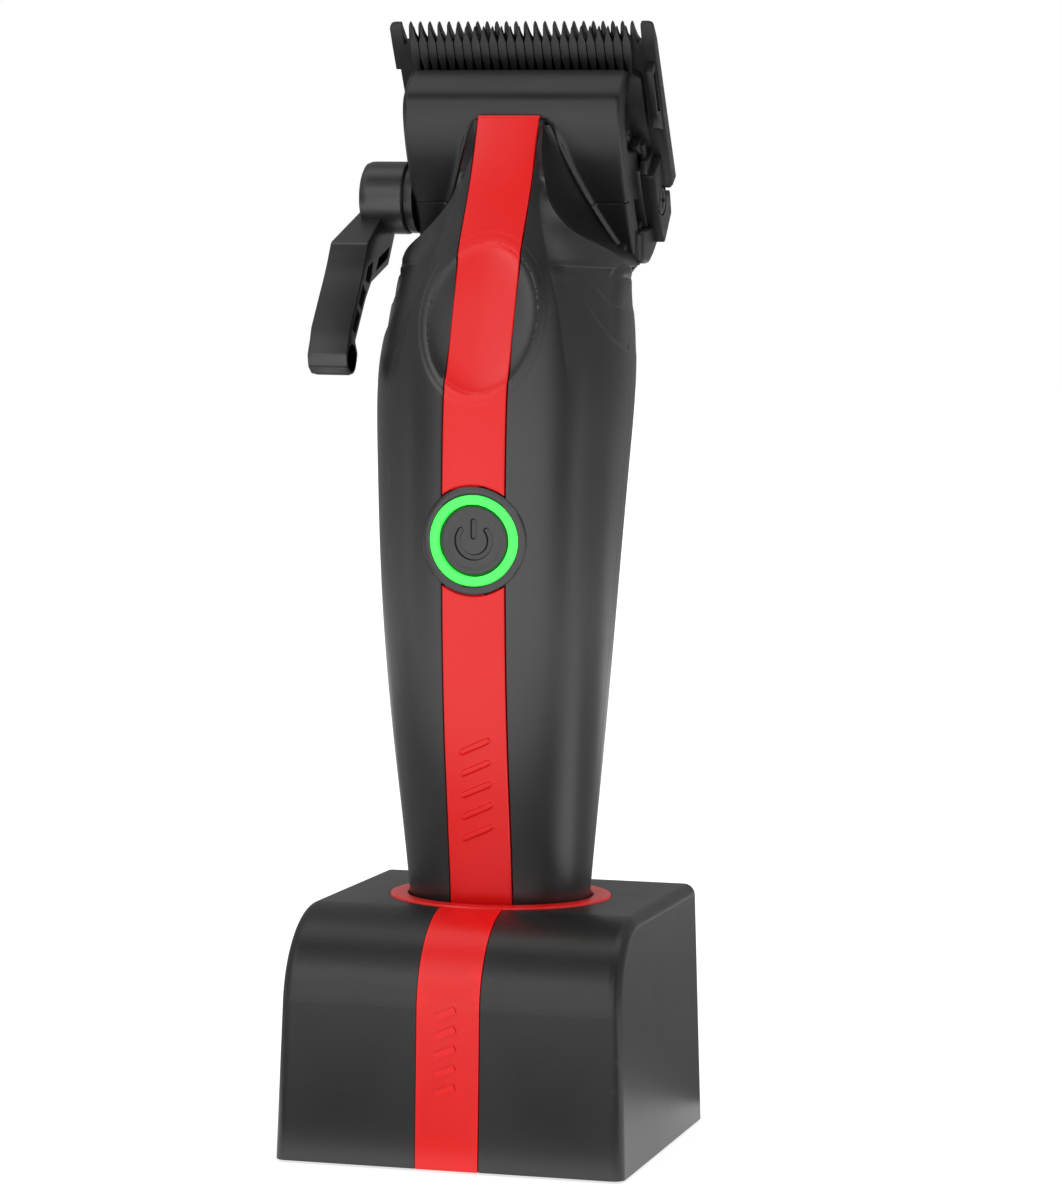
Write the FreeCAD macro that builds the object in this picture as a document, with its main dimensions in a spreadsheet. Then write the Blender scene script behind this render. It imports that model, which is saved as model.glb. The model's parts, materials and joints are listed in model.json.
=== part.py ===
import FreeCAD, Part

import math
import os

import Sketcher
from FreeCAD import Placement, Rotation, Vector

# Cordless hair clipper standing in its square charging dock.
# Millimetres and degrees. +X is the clipper's right, +Y its back, +Z up.
# The origin is the middle of the underside of the dock's rubber pad.

doc = FreeCAD.newDocument("HairClipper")

# ---------------------------------------------------------------- driving sizes

SIZES = (
    # dock
    ("DockWidth", 60.0),
    ("DockTopWidth", 57.2),
    ("DockHeight", 42.2),
    ("DockFloorGap", 0.4),
    ("DockWall", 2.4),
    ("DockFrontRound", 15.0),
    ("DockEdgeRound", 2.0),
    ("DockPlateWidth", 54.4),
    ("DockPlateHeight", 2.0),
    ("PadWidth", 44.0),
    ("PadRound", 6.0),
    ("PadHeight", 1.2),
    ("PostRadius", 3.0),
    ("PostPlace", 24.8),
    ("PostTop", 30.0),
    ("RingY", 2.5),
    ("RingOuter", 19.0),
    ("RingHole", 15.86),
    ("RingRise", 0.4),
    ("RingDepth", 1.6),
    ("WellOuter", 18.4),
    ("WellBase", 9.2),
    ("WellFloor", 11.6),
    ("WellClearance", 0.4),
    ("BoardHeight", 1.2),
    ("DockBoardZ", 5.0),
    ("PortWidth", 9.0),
    ("PortHeight", 3.2),
    ("PortDepth", 7.0),
    ("PinRadius", 1.2),
    ("PinSpacing", 8.0),
    ("PinGap", 0.3),
    # red stripes and the ribs on them
    ("StripeWidth", 10.7),
    ("StripeGap", 0.15),
    ("StripeRise", 0.3),
    ("StripeDepth", 1.1),
    ("RibWidth", 3.6),
    ("RibHeight", 1.1),
    ("RibRise", 0.4),
    # casing
    ("CasingBase", 12.0),
    ("CasingWall", 2.2),
    ("ShoulderZ", 150.4),
    ("CavityTop", 147.3),
    ("CapTop", 17.0),
    ("NeckHalfWidth", 7.2),
    ("NeckTop", 174.3),
    ("DishZ", 141.0),
    ("DishY", -14.9),
    ("DishTilt", 18.5),
    ("DishHalfHeight", 13.0),
    ("DishDepth", 1.7),
    # power button
    ("ButtonZ", 104.0),
    ("BezelOuter", 9.1),
    ("BezelInner", 7.65),
    ("LightOuter", 7.5),
    ("LightInner", 6.15),
    ("ButtonRadius", 5.9),
    ("SymbolRadius", 2.8),
    ("SymbolStroke", 0.9),
    # inside the casing
    ("CellRadius", 9.1),
    ("CellLength", 65.0),
    ("CellZ", 35.0),
    ("CellY", 2.0),
    ("MotorRadius", 11.0),
    ("MotorLength", 33.0),
    ("MotorZ", 103.0),
    ("MotorY", 3.0),
    ("ScrewPlace", 11.5),
    ("ShaftRadius", 1.5),
    ("CamThrow", 1.2),
    ("CamPinRadius", 1.2),
    ("CasingBoardY", -12.9),
    # head, which leans back by HeadTilt; its own frame stands on the front
    # face of the fixed blade: local Z runs up the blade and local Y backwards
    ("HeadTilt", 33.5),
    ("HeadY", 20.0),
    ("HeadZ", 172.6),
    ("HeadWidth", 38.4),
    ("HeadFront", -15.3),
    ("HeadTop", 16.0),
    ("CollarStep", -12.2),
    ("HeadWall", 2.0),
    ("HeadSeamZ", 160.6),
    ("FixedWidth", 46.4),
    ("FixedThickness", 2.9),
    ("FixedTip", 22.7),
    ("FixedRoot", 18.7),
    ("FixedBottom", -10.4),
    ("FixedTeeth", 24),
    ("FixedPitch", 1.70),
    ("FixedTooth", 1.3),
    ("EarWidth", 2.2),
    ("EarFoot", 13.3),
    ("EarStep", 0.8),
    ("MovingWidth", 41.0),
    ("MovingThickness", 1.7),
    ("MovingTip", 21.6),
    ("MovingRoot", 11.4),
    ("MovingBottom", -1.0),
    ("MovingTeeth", 25),
    ("MovingPitch", 1.56),
    ("MovingTooth", 1.1),
    ("CarrierHeight", 3.4),
    ("CarrierWidth", 33.4),
    ("CarrierSlotRise", 0.16),
    ("YokeWidth", 8.0),
    ("YokeSlot", 8.0),
    # taper lever on the left of the head
    ("HubY", 15.0),
    ("HubZ", 161.4),
    ("HubRadius", 6.3),
    ("HubInner", 21.0),
    ("HubOuter", 29.0),
    ("ArmInner", 25.0),
    ("ArmOuter", 32.1),
    ("LeverShaftRadius", 3.0),
    ("LeverCamThrow", 1.85),
    ("LeverPinRadius", 1.2),
)

# The casing's level sections: height, half width, front, back and the power of
# the superellipse that rounds them.
STATIONS = (
    (12.0, 13.3, -7.9, 12.9, 2.2),
    (28.0, 14.4, -9.1, 13.6, 2.2),
    (44.0, 15.6, -10.7, 14.3, 2.2),
    (68.0, 18.0, -14.9, 15.3, 2.3),
    (93.0, 20.1, -17.6, 16.4, 2.4),
    (118.5, 21.5, -18.5, 20.6, 2.4),
    (135.0, 21.7, -17.1, 23.5, 2.4),
    (149.0, 20.9, -12.1, 25.6, 2.5),
    (162.0, 20.6, -4.4, 27.5, 2.6),
    (176.0, 20.0, 1.6, 30.0, 2.6),
)
STATION_WORDS = ("Height", "HalfWidth", "Front", "Back", "Power")
SECTION_POINTS = 24

sheet = doc.addObject("Spreadsheet::Sheet", "Sizes")
for row, (alias, value) in enumerate(SIZES, 1):
    sheet.set(f"A{row}", alias)
    sheet.set(f"B{row}", str(value))
    sheet.setAlias(f"B{row}", alias)
for row, station in enumerate(STATIONS, 1):
    for column, word, value in zip("DEFGH", STATION_WORDS, station):
        sheet.set(f"{column}{row}", str(value))
        sheet.setAlias(f"{column}{row}", f"Station{word}_{row}")
doc.recompute()


def size(alias):
    """The number in one cell of the sheet."""
    return float(getattr(sheet, alias))


# ---------------------------------------------------------------- small helpers

ALONG = {
    "x": Rotation(Vector(0, 1, 0), 90),
    "y": Rotation(Vector(1, 0, 0), -90),
    "z": Rotation(),
}


def bind(obj, **values):
    """Bind properties of an object to expressions of the sheet."""
    for name, value in values.items():
        obj.setExpression(name, str(value))


def place(obj, x=0, y=0, z=0, rotation=Rotation()):
    """Put an object at a point given by expressions."""
    obj.Placement = Placement(Vector(0, 0, 0), rotation)
    for axis, value in zip("xyz", (x, y, z)):
        obj.setExpression(f"Placement.Base.{axis}", str(value))
    return obj


def box(name, length, width, height, y, z, x=0):
    """A box with its middle at x and its low sides at y and z."""
    obj = doc.addObject("Part::Box", name)
    bind(obj, Length=length, Width=width, Height=height)
    return place(obj, f"({x}) - ({length}) / 2", y, z)


def cylinder(name, radius, height, x=0, y=0, z=0, along="z"):
    """A cylinder from a point, along one of the axes."""
    obj = doc.addObject("Part::Cylinder", name)
    bind(obj, Radius=radius, Height=height)
    return place(obj, x, y, z, ALONG[along])


def boolean(kind, name, **links):
    obj = doc.addObject(kind, name)
    for word, value in links.items():
        setattr(obj, word, value)
    return obj


def fuse(name, *shapes):
    return boolean("Part::MultiFuse", name, Shapes=list(shapes))


def common(name, base, tool, refine=True):
    return boolean("Part::Common", name, Base=base, Tool=tool, Refine=refine)


def cut(name, base, *tools):
    """The base less each tool in turn."""
    for index, tool in enumerate(tools):
        last = index == len(tools) - 1
        base = boolean("Part::Cut", name if last else f"{name}_less_{index}", Base=base, Tool=tool)
    return base


def tube(name, outer, inner, height, **where):
    """A ring or sleeve between two radii."""
    return cut(name, cylinder(f"{name}_outside", outer, height, **where),
               cylinder(f"{name}_hole", inner, height, **where))


def feature(name, shape):
    """A shape made with Part's own functions, as an object of the document."""
    obj = doc.addObject("Part::Feature", name)
    obj.Shape = shape
    return obj


def plane_of(body, role):
    """One of a body's own origin planes."""
    return next(item for item in body.Origin.OriginFeatures if item.Role == role)


def polygon_pad(name, role, points, length, low=None):
    """A PartDesign body: a polygon on an origin plane, padded.

    Points are pairs of expressions, held in the sketch by distances from its
    origin. The pad is symmetric about the plane unless low is given, and then it
    runs from low to low + length along the plane's normal.
    """
    body = doc.addObject("PartDesign::Body", name)
    sketch = body.newObject("Sketcher::SketchObject", f"{name}_sketch")
    sketch.AttachmentSupport = [(plane_of(body, role), "")]
    sketch.MapMode = "FlatFace"
    corners = [[evaluate(value) for value in point] for point in points]
    for index, corner in enumerate(corners):
        following = corners[(index + 1) % len(corners)]
        sketch.addGeometry(Part.LineSegment(Vector(*corner, 0), Vector(*following, 0)), False)
    for index in range(len(corners)):
        sketch.addConstraint(Sketcher.Constraint(
            "Coincident", index, 2, (index + 1) % len(corners), 1))
    for index, (point, corner) in enumerate(zip(points, corners)):
        for word, expression, value in zip(("DistanceX", "DistanceY"), point, corner):
            number = sketch.addConstraint(Sketcher.Constraint(word, -1, 1, index, 1, value))
            sketch.setExpression(f"Constraints[{number}]", str(expression))
    if low is not None:
        sketch.setExpression("AttachmentOffset.Base.z", str(low))
    pad = body.newObject("PartDesign::Pad", f"{name}_pad")
    pad.Profile = sketch
    pad.Midplane = low is None
    bind(pad, Length=length)
    return body


def evaluate(expression):
    """The present value of an expression on the sheet."""
    if not isinstance(expression, str):
        return float(expression)
    return float(sheet.evalExpression(expression.replace("Sizes.", "")))


def nearest_edges(shape, points):
    """Names of the edges whose middles lie nearest to the points."""
    def distance(edge, point):
        middle = edge.valueAt((edge.FirstParameter + edge.LastParameter) / 2)
        return middle.distanceToPoint(Vector(*point))
    names = []
    for point in points:
        gaps = [distance(edge, point) for edge in shape.Edges]
        names.append(gaps.index(min(gaps)) + 1)
    return names


def rounded(name, base, radius, points):
    """A Part fillet of one radius on the edges nearest to the points."""
    doc.recompute()
    obj = doc.addObject("Part::Fillet", name)
    obj.Base = base
    value = evaluate(radius)
    obj.Edges = [(number, value, value) for number in nearest_edges(base.Shape, points)]
    return obj


parts = {}


def part(name, obj):
    """Take an object as a sub-part of the product, under its file's name."""
    obj.Label = name
    parts[name] = obj
    return obj


# ---------------------------------------------------------------- dock


def dock_block(name, inset):
    """The dock's outer form, drawn in by inset on every side but the bottom.

    Its sides lean in to the top and its front rolls over into the top in one
    large round.
    """
    wide = size("DockWidth") / 2 - inset
    top = size("DockTopWidth") / 2 - inset
    height = size("DockHeight") - inset
    low = size("DockFloorGap") - max(inset, 0)
    wires = [
        Part.makePolygon([
            Vector(-half, -wide, level), Vector(half, -wide, level),
            Vector(half, back, level), Vector(-half, back, level),
            Vector(-half, -wide, level)])
        for half, back, level in ((wide, wide, low), (top, top, height))
    ]
    block = Part.makeLoft(wires, True, True)
    front = nearest_edges(block, [(0, -wide, height)])
    block = block.makeFillet(size("DockFrontRound") - inset,
                             [block.Edges[number - 1] for number in front])
    edge_round = max(size("DockEdgeRound") - inset, 0.4)
    sharp = [edge for edge in block.Edges
             if edge.BoundBox.ZMax > low + 1 and edge.BoundBox.XMax * edge.BoundBox.XMin > 0
             or edge.BoundBox.YMin > top - 1 and edge.BoundBox.ZMin > low + 1]
    return feature(name, block.makeFillet(edge_round, sharp))


def make_dock():
    outer = dock_block("dock_outer", 0)
    proud = dock_block("dock_proud", -size("StripeRise") / 2)
    under = dock_block("dock_under", size("StripeDepth"))
    inner = dock_block("dock_inner", size("DockWall"))
    ring_z = "Sizes.DockHeight - Sizes.RingDepth"

    # the stripe runs from the dock's bottom edge over its front to the ring
    lane = box("stripe_lane", "Sizes.StripeWidth + 2 * Sizes.StripeGap", 30, 60,
               "-45 + Sizes.RingY", -5)
    recess = cut("dock_recess", common("dock_lane", lane, dock_block("dock_lane_block", -2)),
                 dock_block("dock_recess_floor", size("StripeDepth") + 0.05))
    strip = box("stripe_strip", "Sizes.StripeWidth", 30, 60, "-45 + Sizes.RingY",
                "Sizes.DockFloorGap")
    strip = common("dock_strip", cut("dock_skin", proud, under), strip)
    ring_room = cylinder("ring_room", "Sizes.RingOuter + 0.1", 9, y="Sizes.RingY", z=ring_z)
    strip = cut("dock_strip_cut", strip, ring_room)
    ribs = [make_rib(f"dock_rib_{index}", -35, 12.5 + 3.2 * index, 10) for index in range(5)]
    rib_skin = cut("dock_rib_skin", dock_block("dock_rib_block", -0.45),
                   dock_block("dock_rib_floor", 0.4))
    part("dock_stripe", fuse("dock_stripe", strip,
                             common("dock_ribs", rib_skin, fuse("dock_rib_bars", *ribs))))

    posts = fuse("dock_posts", *[
        cylinder(f"dock_post_{x}_{y}", "Sizes.PostRadius", "Sizes.PostTop - 3.4",
                 f"{x} * Sizes.PostPlace", f"{y} * Sizes.PostPlace", 3.4)
        for x in (-1, 1) for y in (-1, 1)])
    hollow = cut("dock_hollow", inner, posts)
    screw_holes = fuse("dock_screw_holes", *[
        cylinder(f"dock_screw_hole_{x}_{y}", 1.05, 12, f"{x} * Sizes.PostPlace",
                 f"{y} * Sizes.PostPlace", 1)
        for x in (-1, 1) for y in (-1, 1)])
    mouth = cylinder("dock_mouth", "Sizes.RingHole + 0.5", 20, y="Sizes.RingY", z=30)
    port_hole = port_block("dock_port_hole", 0.2, 20)
    part("dock_shell", cut("dock_shell", outer, hollow, screw_holes, mouth, ring_room,
                           recess, port_hole))

    plate = box("plate_block", "Sizes.DockPlateWidth", "Sizes.DockPlateWidth",
                "Sizes.DockPlateHeight", "-Sizes.DockPlateWidth / 2", 1)
    holes = [cylinder(f"plate_{word}_{x}_{y}", radius, height, f"{x} * Sizes.PostPlace",
                      f"{y} * Sizes.PostPlace", 0)
             for x in (-1, 1) for y in (-1, 1)
             for word, radius, height in (("hole", 1.3, 9), ("sink", 2.5, 1.6))]
    part("dock_base_plate", cut("dock_base_plate", plate, pad_block("pad_room", 0.1), *holes))
    part("dock_foot_pad", pad_block("dock_foot_pad", 0))
    screws = [screw(f"dock_screw_{x}_{y}", 1.0, 2.3, 9, 0.9, f"{x} * Sizes.PostPlace",
                    f"{y} * Sizes.PostPlace", 0.6)
              for x in (-1, 1) for y in (-1, 1)]
    part("dock_screws", fuse("dock_screws", *screws))

    part("socket_ring", tube("socket_ring", "Sizes.RingOuter", "Sizes.RingHole",
                             "Sizes.RingDepth + Sizes.RingRise", y="Sizes.RingY", z=ring_z))
    cup = cylinder("well_cup", "Sizes.WellOuter",
                   "Sizes.DockHeight - Sizes.DockWall - 0.1 - Sizes.WellBase",
                   y="Sizes.RingY", z="Sizes.WellBase")
    room = common("well_room", casing("well_form", -size("WellClearance")),
                  box("well_range", 60, 60, 60, -30, "Sizes.WellFloor"))
    bore = cylinder("well_bore", "Sizes.RingHole", 20, y="Sizes.RingY", z=35)
    pin_holes = pins("well_pin_hole", "Sizes.PinRadius + 0.15", 9, "Sizes.WellBase - 1")
    part("socket_well", cut("socket_well", cup, room, bore, pin_holes))

    part("dock_circuit_board", box("dock_circuit_board", 40, 39.4, "Sizes.BoardHeight",
                                   -12.6, "Sizes.DockBoardZ"))
    shell = port_block("port_shell", 0, "Sizes.PortDepth")
    room = port_block("port_room", -0.4, "Sizes.PortDepth - 1", 0.01)
    tongue = box("port_tongue", 6.2, "Sizes.PortDepth - 1.5", 0.7,
                 "Sizes.DockWidth / 2 - Sizes.PortDepth - 0.4 + 0.3",
                 "Sizes.DockBoardZ + Sizes.BoardHeight + Sizes.PortHeight / 2 - 0.35")
    part("dock_usb_port", fuse("dock_usb_port", cut("port_case", shell, room), tongue))
    part("charge_pins", pins(
        "charge_pins", "Sizes.PinRadius",
        "Sizes.CasingBase - Sizes.PinGap - Sizes.DockBoardZ - Sizes.BoardHeight - 1.2",
        "Sizes.DockBoardZ + Sizes.BoardHeight + 1.2"))


def pad_block(name, grow):
    """The rubber pad under the dock, a square with round corners, grown on its sides."""
    half = size("PadWidth") / 2 + grow
    block = Part.makeBox(2 * half, 2 * half, size("PadHeight"), Vector(-half, -half, 0))
    upright = [edge for edge in block.Edges if edge.BoundBox.ZLength > size("PadHeight") / 2]
    return feature(name, block.makeFillet(size("PadRound") + grow, upright))


def port_block(name, grow, depth, shift=0):
    """A flat-oval block along Y, at the back of the dock, for the power inlet."""
    half = f"(Sizes.PortHeight / 2 + {grow})"
    middle = "Sizes.DockBoardZ + Sizes.BoardHeight + Sizes.PortHeight / 2"
    apart = "(Sizes.PortWidth - Sizes.PortHeight)"
    start = f"Sizes.DockWidth / 2 - 0.4 + {shift} - ({depth})" if grow <= 0 else "24"
    ends = [cylinder(f"{name}_end_{side}", half, depth, f"{side} * {apart} / 2", start, middle, "y")
            for side in (-1, 1)]
    web = box(f"{name}_web", apart, depth, f"2 * {half}", start, f"{middle} - {half}")
    return fuse(name, web, *ends)


def pins(name, radius, height, z):
    """Two upright pins side by side under the middle of the well."""
    return fuse(name, *[
        cylinder(f"{name}_{side}", radius, height, f"{side} * Sizes.PinSpacing / 2",
                 "Sizes.RingY", z)
        for side in (-1, 1)])


def make_rib(name, y, z, depth):
    """One slanted bar of a plain decorative row on a red stripe."""
    bar = doc.addObject("Part::Box", name)
    bind(bar, Length="Sizes.RibWidth", Width=depth, Height="Sizes.RibHeight")
    slant = Rotation(Vector(0, 1, 0), -24)
    return place(bar, "-Sizes.RibWidth / 2", y, z, slant)


def screw(name, radius, head_radius, length, head, x, y, z, turn=Rotation()):
    """A cross-head screw: its head's face lies at the point and its shank runs on."""
    shank = Part.makeCylinder(radius, length)
    top = Part.makeCylinder(head_radius, head)
    cross = [Part.makeBox(a, b, head * 0.7, Vector(-a / 2, -b / 2, 0))
             for a, b in ((head_radius * 1.1, head_radius * 0.3),
                          (head_radius * 0.3, head_radius * 1.1))]
    obj = feature(name, shank.fuse(top).cut(cross[0].fuse(cross[1])))
    return place(obj, x, y, z, turn)


# ---------------------------------------------------------------- casing


def section(station, inset):
    """A closed superellipse at one station of the casing, drawn in by inset."""
    height, half, front, back, power = [
        size(f"Station{word}_{station}") for word in STATION_WORDS]
    middle = (front + back) / 2
    reach_x = half - inset
    reach_y = (back - front) / 2 - inset
    points = []
    for index in range(SECTION_POINTS):
        angle = 2 * math.pi * (index + 0.5) / SECTION_POINTS
        across = math.copysign(abs(math.cos(angle)) ** (2 / power), math.cos(angle))
        along = math.copysign(abs(math.sin(angle)) ** (2 / power), math.sin(angle))
        points.append(Vector(reach_x * across, middle + reach_y * along, height))
    curve = Part.BSplineCurve()
    curve.interpolate(Points=points, PeriodicFlag=True)
    return Part.Wire([curve.toShape()])


def casing(name, inset):
    """The casing's full form, drawn in by inset all round."""
    wires = [section(station, inset) for station in range(1, len(STATIONS) + 1)]
    return feature(name, Part.makeLoft(wires, True, False))


def neck_outline(name):
    """The front view of the casing: shoulders that sweep up into a narrow neck."""
    half = size("NeckHalfWidth")
    shoulder = size("ShoulderZ")
    top = size("NeckTop")
    wide = 30
    right = [Vector(wide, 0, 0), Vector(wide, 0, shoulder - 4), Vector(21.9, 0, shoulder - 4)]
    corner = Part.Arc(right[-1], Vector(21.4, 0, shoulder - 1.2), Vector(20.2, 0, shoulder)).toShape()
    flare = Part.Arc(Vector(20.2, 0, shoulder), Vector(13.0, 0, shoulder + 4.6),
                     Vector(half + 1.2, 0, shoulder + 10.6)).toShape()
    neck = [Vector(half + 1.2, 0, shoulder + 10.6), Vector(half, 0, shoulder + 16),
            Vector(half - 0.2, 0, top)]
    edges = [Part.makePolygon(right), corner, flare, Part.makePolygon(neck)]
    mirrored = [edge.mirror(Vector(0, 0, 0), Vector(1, 0, 0)) for edge in edges]
    ends = [Part.makeLine(Vector(-wide, 0, 0), Vector(wide, 0, 0)),
            Part.makeLine(Vector(0.2 - half, 0, top), Vector(half - 0.2, 0, top))]
    pieces = [edge for shape in edges + mirrored + ends for edge in shape.Edges]
    wire = Part.Wire(Part.sortEdges(pieces)[0])
    prism = Part.Face(wire).extrude(Vector(0, 100, 0))
    prism.translate(Vector(0, -50, 0))
    return feature(name, prism)


def seam_block(name, behind):
    """Everything in front of the side seam, with the root of the neck, or behind it."""
    seam = [Vector(-40, (size(f"StationFront_{row}") + size(f"StationBack_{row}")) / 2,
                   size(f"StationHeight_{row}"))
            for row in range(1, 9)]
    seam[0].z = -5
    seam[-1].z = size("CavityTop") + 0.8
    curve = Part.BSplineCurve()
    curve.interpolate(Points=seam)
    root = 17.2
    far = 60 if behind else -60
    outline = [seam[-1], Vector(-40, root, seam[-1].z), Vector(-40, root, 200),
               Vector(-40, far, 200), Vector(-40, far, -5), seam[0]]
    wire = Part.Wire([curve.toShape()] + Part.makePolygon(outline).Edges)
    return feature(name, Part.Face(wire).extrude(Vector(80, 0, 0)))


def casing_band(name, outside, inside):
    """The skin of the casing between two insets."""
    return cut(name, casing(f"{name}_outside", outside), casing(f"{name}_inside", inside))


def thumb_dish(name, deeper=0.0):
    """A long ellipsoid that scoops the oval thumb dish out of the front."""
    standoff = 18
    deep = size("DishDepth") + deeper
    reach = standoff + deep
    tall = size("DishHalfHeight") / math.sqrt(1 - (standoff / reach) ** 2)
    obj = doc.addObject("Part::Ellipsoid", name)
    bind(obj, Radius1=tall, Radius2=56, Radius3=reach)
    tilt = math.radians(size("DishTilt"))
    turn = Rotation(Vector(1, 0, 0), -size("DishTilt"))
    return place(obj, 0, f"Sizes.DishY - {standoff * math.cos(tilt)}",
                 f"Sizes.DishZ + {standoff * math.sin(tilt)}", turn)


def dished_casing(name, inset, deeper):
    """The casing drawn in by inset, with the thumb dish sunk deeper to suit."""
    return cut(name, casing(f"{name}_form", inset), thumb_dish(f"{name}_dish", deeper))


def make_casing():
    wall = size("CasingWall")
    whole = common("casing_form", casing("casing_outer", 0), neck_outline("casing_outline"))
    cavity = common("casing_cavity", dished_casing("casing_inner", wall, wall + 0.8),
                    box("cavity_range", 60, 80, "Sizes.CavityTop - Sizes.CasingBase - 2.2",
                        -40, "Sizes.CasingBase + 2.2"))
    depth = size("StripeDepth")
    lane = box("casing_lane", "Sizes.StripeWidth + 2 * Sizes.StripeGap", 64,
               "200 - Sizes.CapTop", -60, "Sizes.CapTop + 0.2")
    lane = cut("casing_recess", common("casing_lane_front", lane, seam_block("lane_front", False)),
               dished_casing("casing_recess_floor", depth + 0.05, depth + 0.05))
    dish = thumb_dish("casing_dish")
    button = "Sizes.ButtonZ"
    bezel_room = common("bezel_room", casing_band("bezel_room_band", -2, 1.3),
                        cylinder("bezel_room_bore", "Sizes.BezelOuter + 0.1", 30, 0, -30,
                                 button, "y"))
    light_hole = cylinder("light_hole", "Sizes.LightOuter + 0.1", 30, 0, -30, button, "y")
    deck_hole = box("deck_hole", "Sizes.YokeWidth + 8", 5.2, 9, 18.4, 145)
    cap_range = box("cap_range", 60, 80, "Sizes.CapTop", -40, 0)
    contact_holes = pins("contact_holes", 2.1, 8, 8)
    hollow = cut("casing_hollow", whole, cavity, deck_hole)
    sunk = [cylinder(f"casing_screw_{word}_{side}", radius, 30, f"{side} * Sizes.ScrewPlace",
                     start, "Sizes.MotorZ + Sizes.MotorLength - 4.5", "y")
            for side in (-1, 1)
            for word, radius, start in (("sink", 2.1, 20.2), ("hole", 1.15, 12))]
    body = cut("casing_body", hollow, lane, dish, bezel_room, light_hole,
               head_room("casing_head_room"), *sunk,
               box("below_body", 60, 80, "Sizes.CapTop + 0.1", -40, 0))
    part("front_shell", common("front_shell", body, seam_block("front_half", False), False))
    part("back_shell", common("back_shell", body, seam_block("back_half", True), False))
    part("bottom_cap", cut("bottom_cap", common("cap_block", hollow, cap_range), contact_holes))
    part("charge_contacts", pins("charge_contacts", 2.0, 3.4, "Sizes.CasingBase"))

    # the red stripe, in two lengths above and below the button
    width = "Sizes.StripeWidth"
    band = casing_band("stripe_band", -size("StripeRise"), depth)
    upper_band = cut("upper_band", dished_casing("upper_band_outside", -size("StripeRise"),
                                                 -size("StripeRise")),
                     dished_casing("upper_band_inside", depth, depth))
    disc = cylinder("stripe_disc", "Sizes.BezelOuter + 0.25", 60, 0, -40, button, "y")
    upper = box("stripe_upper_range", width, 60, f"Sizes.NeckTop + 0.8 - {button}", -40, button)
    upper = cut("stripe_upper_bar", common("stripe_upper_band", upper_band, upper), disc,
                seam_back("stripe_upper_back"), head_room("stripe_head_room"))
    part("stripe_upper", upper)
    lower = box("stripe_lower_range", width, 60, f"{button} - Sizes.CapTop - 0.3", -60,
                "Sizes.CapTop + 0.3")
    lower = cut("stripe_lower_bar", common("stripe_lower_band", band, lower), disc,
                seam_back("stripe_lower_back"))
    ribs = fuse("casing_rib_bars", *[
        make_rib(f"casing_rib_{index}", -30, 54.5 + 3.4 * index, 20) for index in range(5)])
    rib_band = casing_band("casing_rib_band", -size("StripeRise") - size("RibRise"), 0.2)
    part("stripe_lower", fuse("stripe_lower", lower, common("casing_ribs", rib_band, ribs)))

    part("casing_screws", fuse("casing_screws", *[
        screw(f"casing_screw_{side}", 1.0, 2.0, 8, 1.0, f"{side} * Sizes.ScrewPlace", 21.3,
              "Sizes.MotorZ + Sizes.MotorLength - 4.5", Rotation(Vector(1, 0, 0), 90))
        for side in (-1, 1)]))


def seam_back(name):
    """A block behind the casing's middle, to keep only the front of a band."""
    return box(name, 60, 60, 300, 3.9, -50)


# ---------------------------------------------------------------- power button


def make_button():
    button = "Sizes.ButtonZ"
    bezel = tube("bezel_tube", "Sizes.BezelOuter", "Sizes.BezelInner", 20, y=-30, z=button,
                 along="y")
    part("button_bezel", common("button_bezel", casing_band("bezel_band", -0.4, 1.25), bezel))
    light = tube("light_tube", "Sizes.LightOuter", "Sizes.LightInner", 16, y=-30, z=button,
                 along="y")
    part("led_ring", common("led_ring", casing_band("light_band", -0.15, 3.0), light))

    reach = cylinder("button_disc", "Sizes.ButtonRadius", 20, y=-30, z=button, along="y")
    cap = common("button_cap", casing_band("button_band", 0.1, 2.4), reach)
    symbol = make_symbol()
    stem = cylinder("button_stem", 1.6, 2.4, y=-16.6, z=button, along="y")
    part("power_button", fuse("power_button", cut("button_face", cap, symbol), stem))

    board = box("control_board_block", 20, "Sizes.BoardHeight", 39, "Sizes.CasingBoardY", 84)
    part("control_board", board)
    part("button_switch", box("button_switch", 5, 0.6, 5, "Sizes.CasingBoardY - 0.6",
                              f"{button} - 2.5"))


def make_symbol():
    """The cut for a plain on-off mark: an open ring with a short bar."""
    button = "Sizes.ButtonZ"
    ring = tube("symbol_ring", "Sizes.SymbolRadius + Sizes.SymbolStroke / 2",
                "Sizes.SymbolRadius - Sizes.SymbolStroke / 2", 20, y=-30, z=button, along="y")
    opening = polygon_pad("symbol_opening", "XZ_Plane", [
        (0, button), (5, f"{button} + 4"), (-5, f"{button} + 4")], 80)
    bar = box("symbol_bar", "Sizes.SymbolStroke", 20, 3.3, -30, f"{button} + 0.3")
    mark = fuse("symbol_mark", cut("symbol_arc", ring, opening), bar)
    return common("symbol_cut", mark, casing_band("symbol_band", -1, 0.45))


# ---------------------------------------------------------------- drive inside


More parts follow.
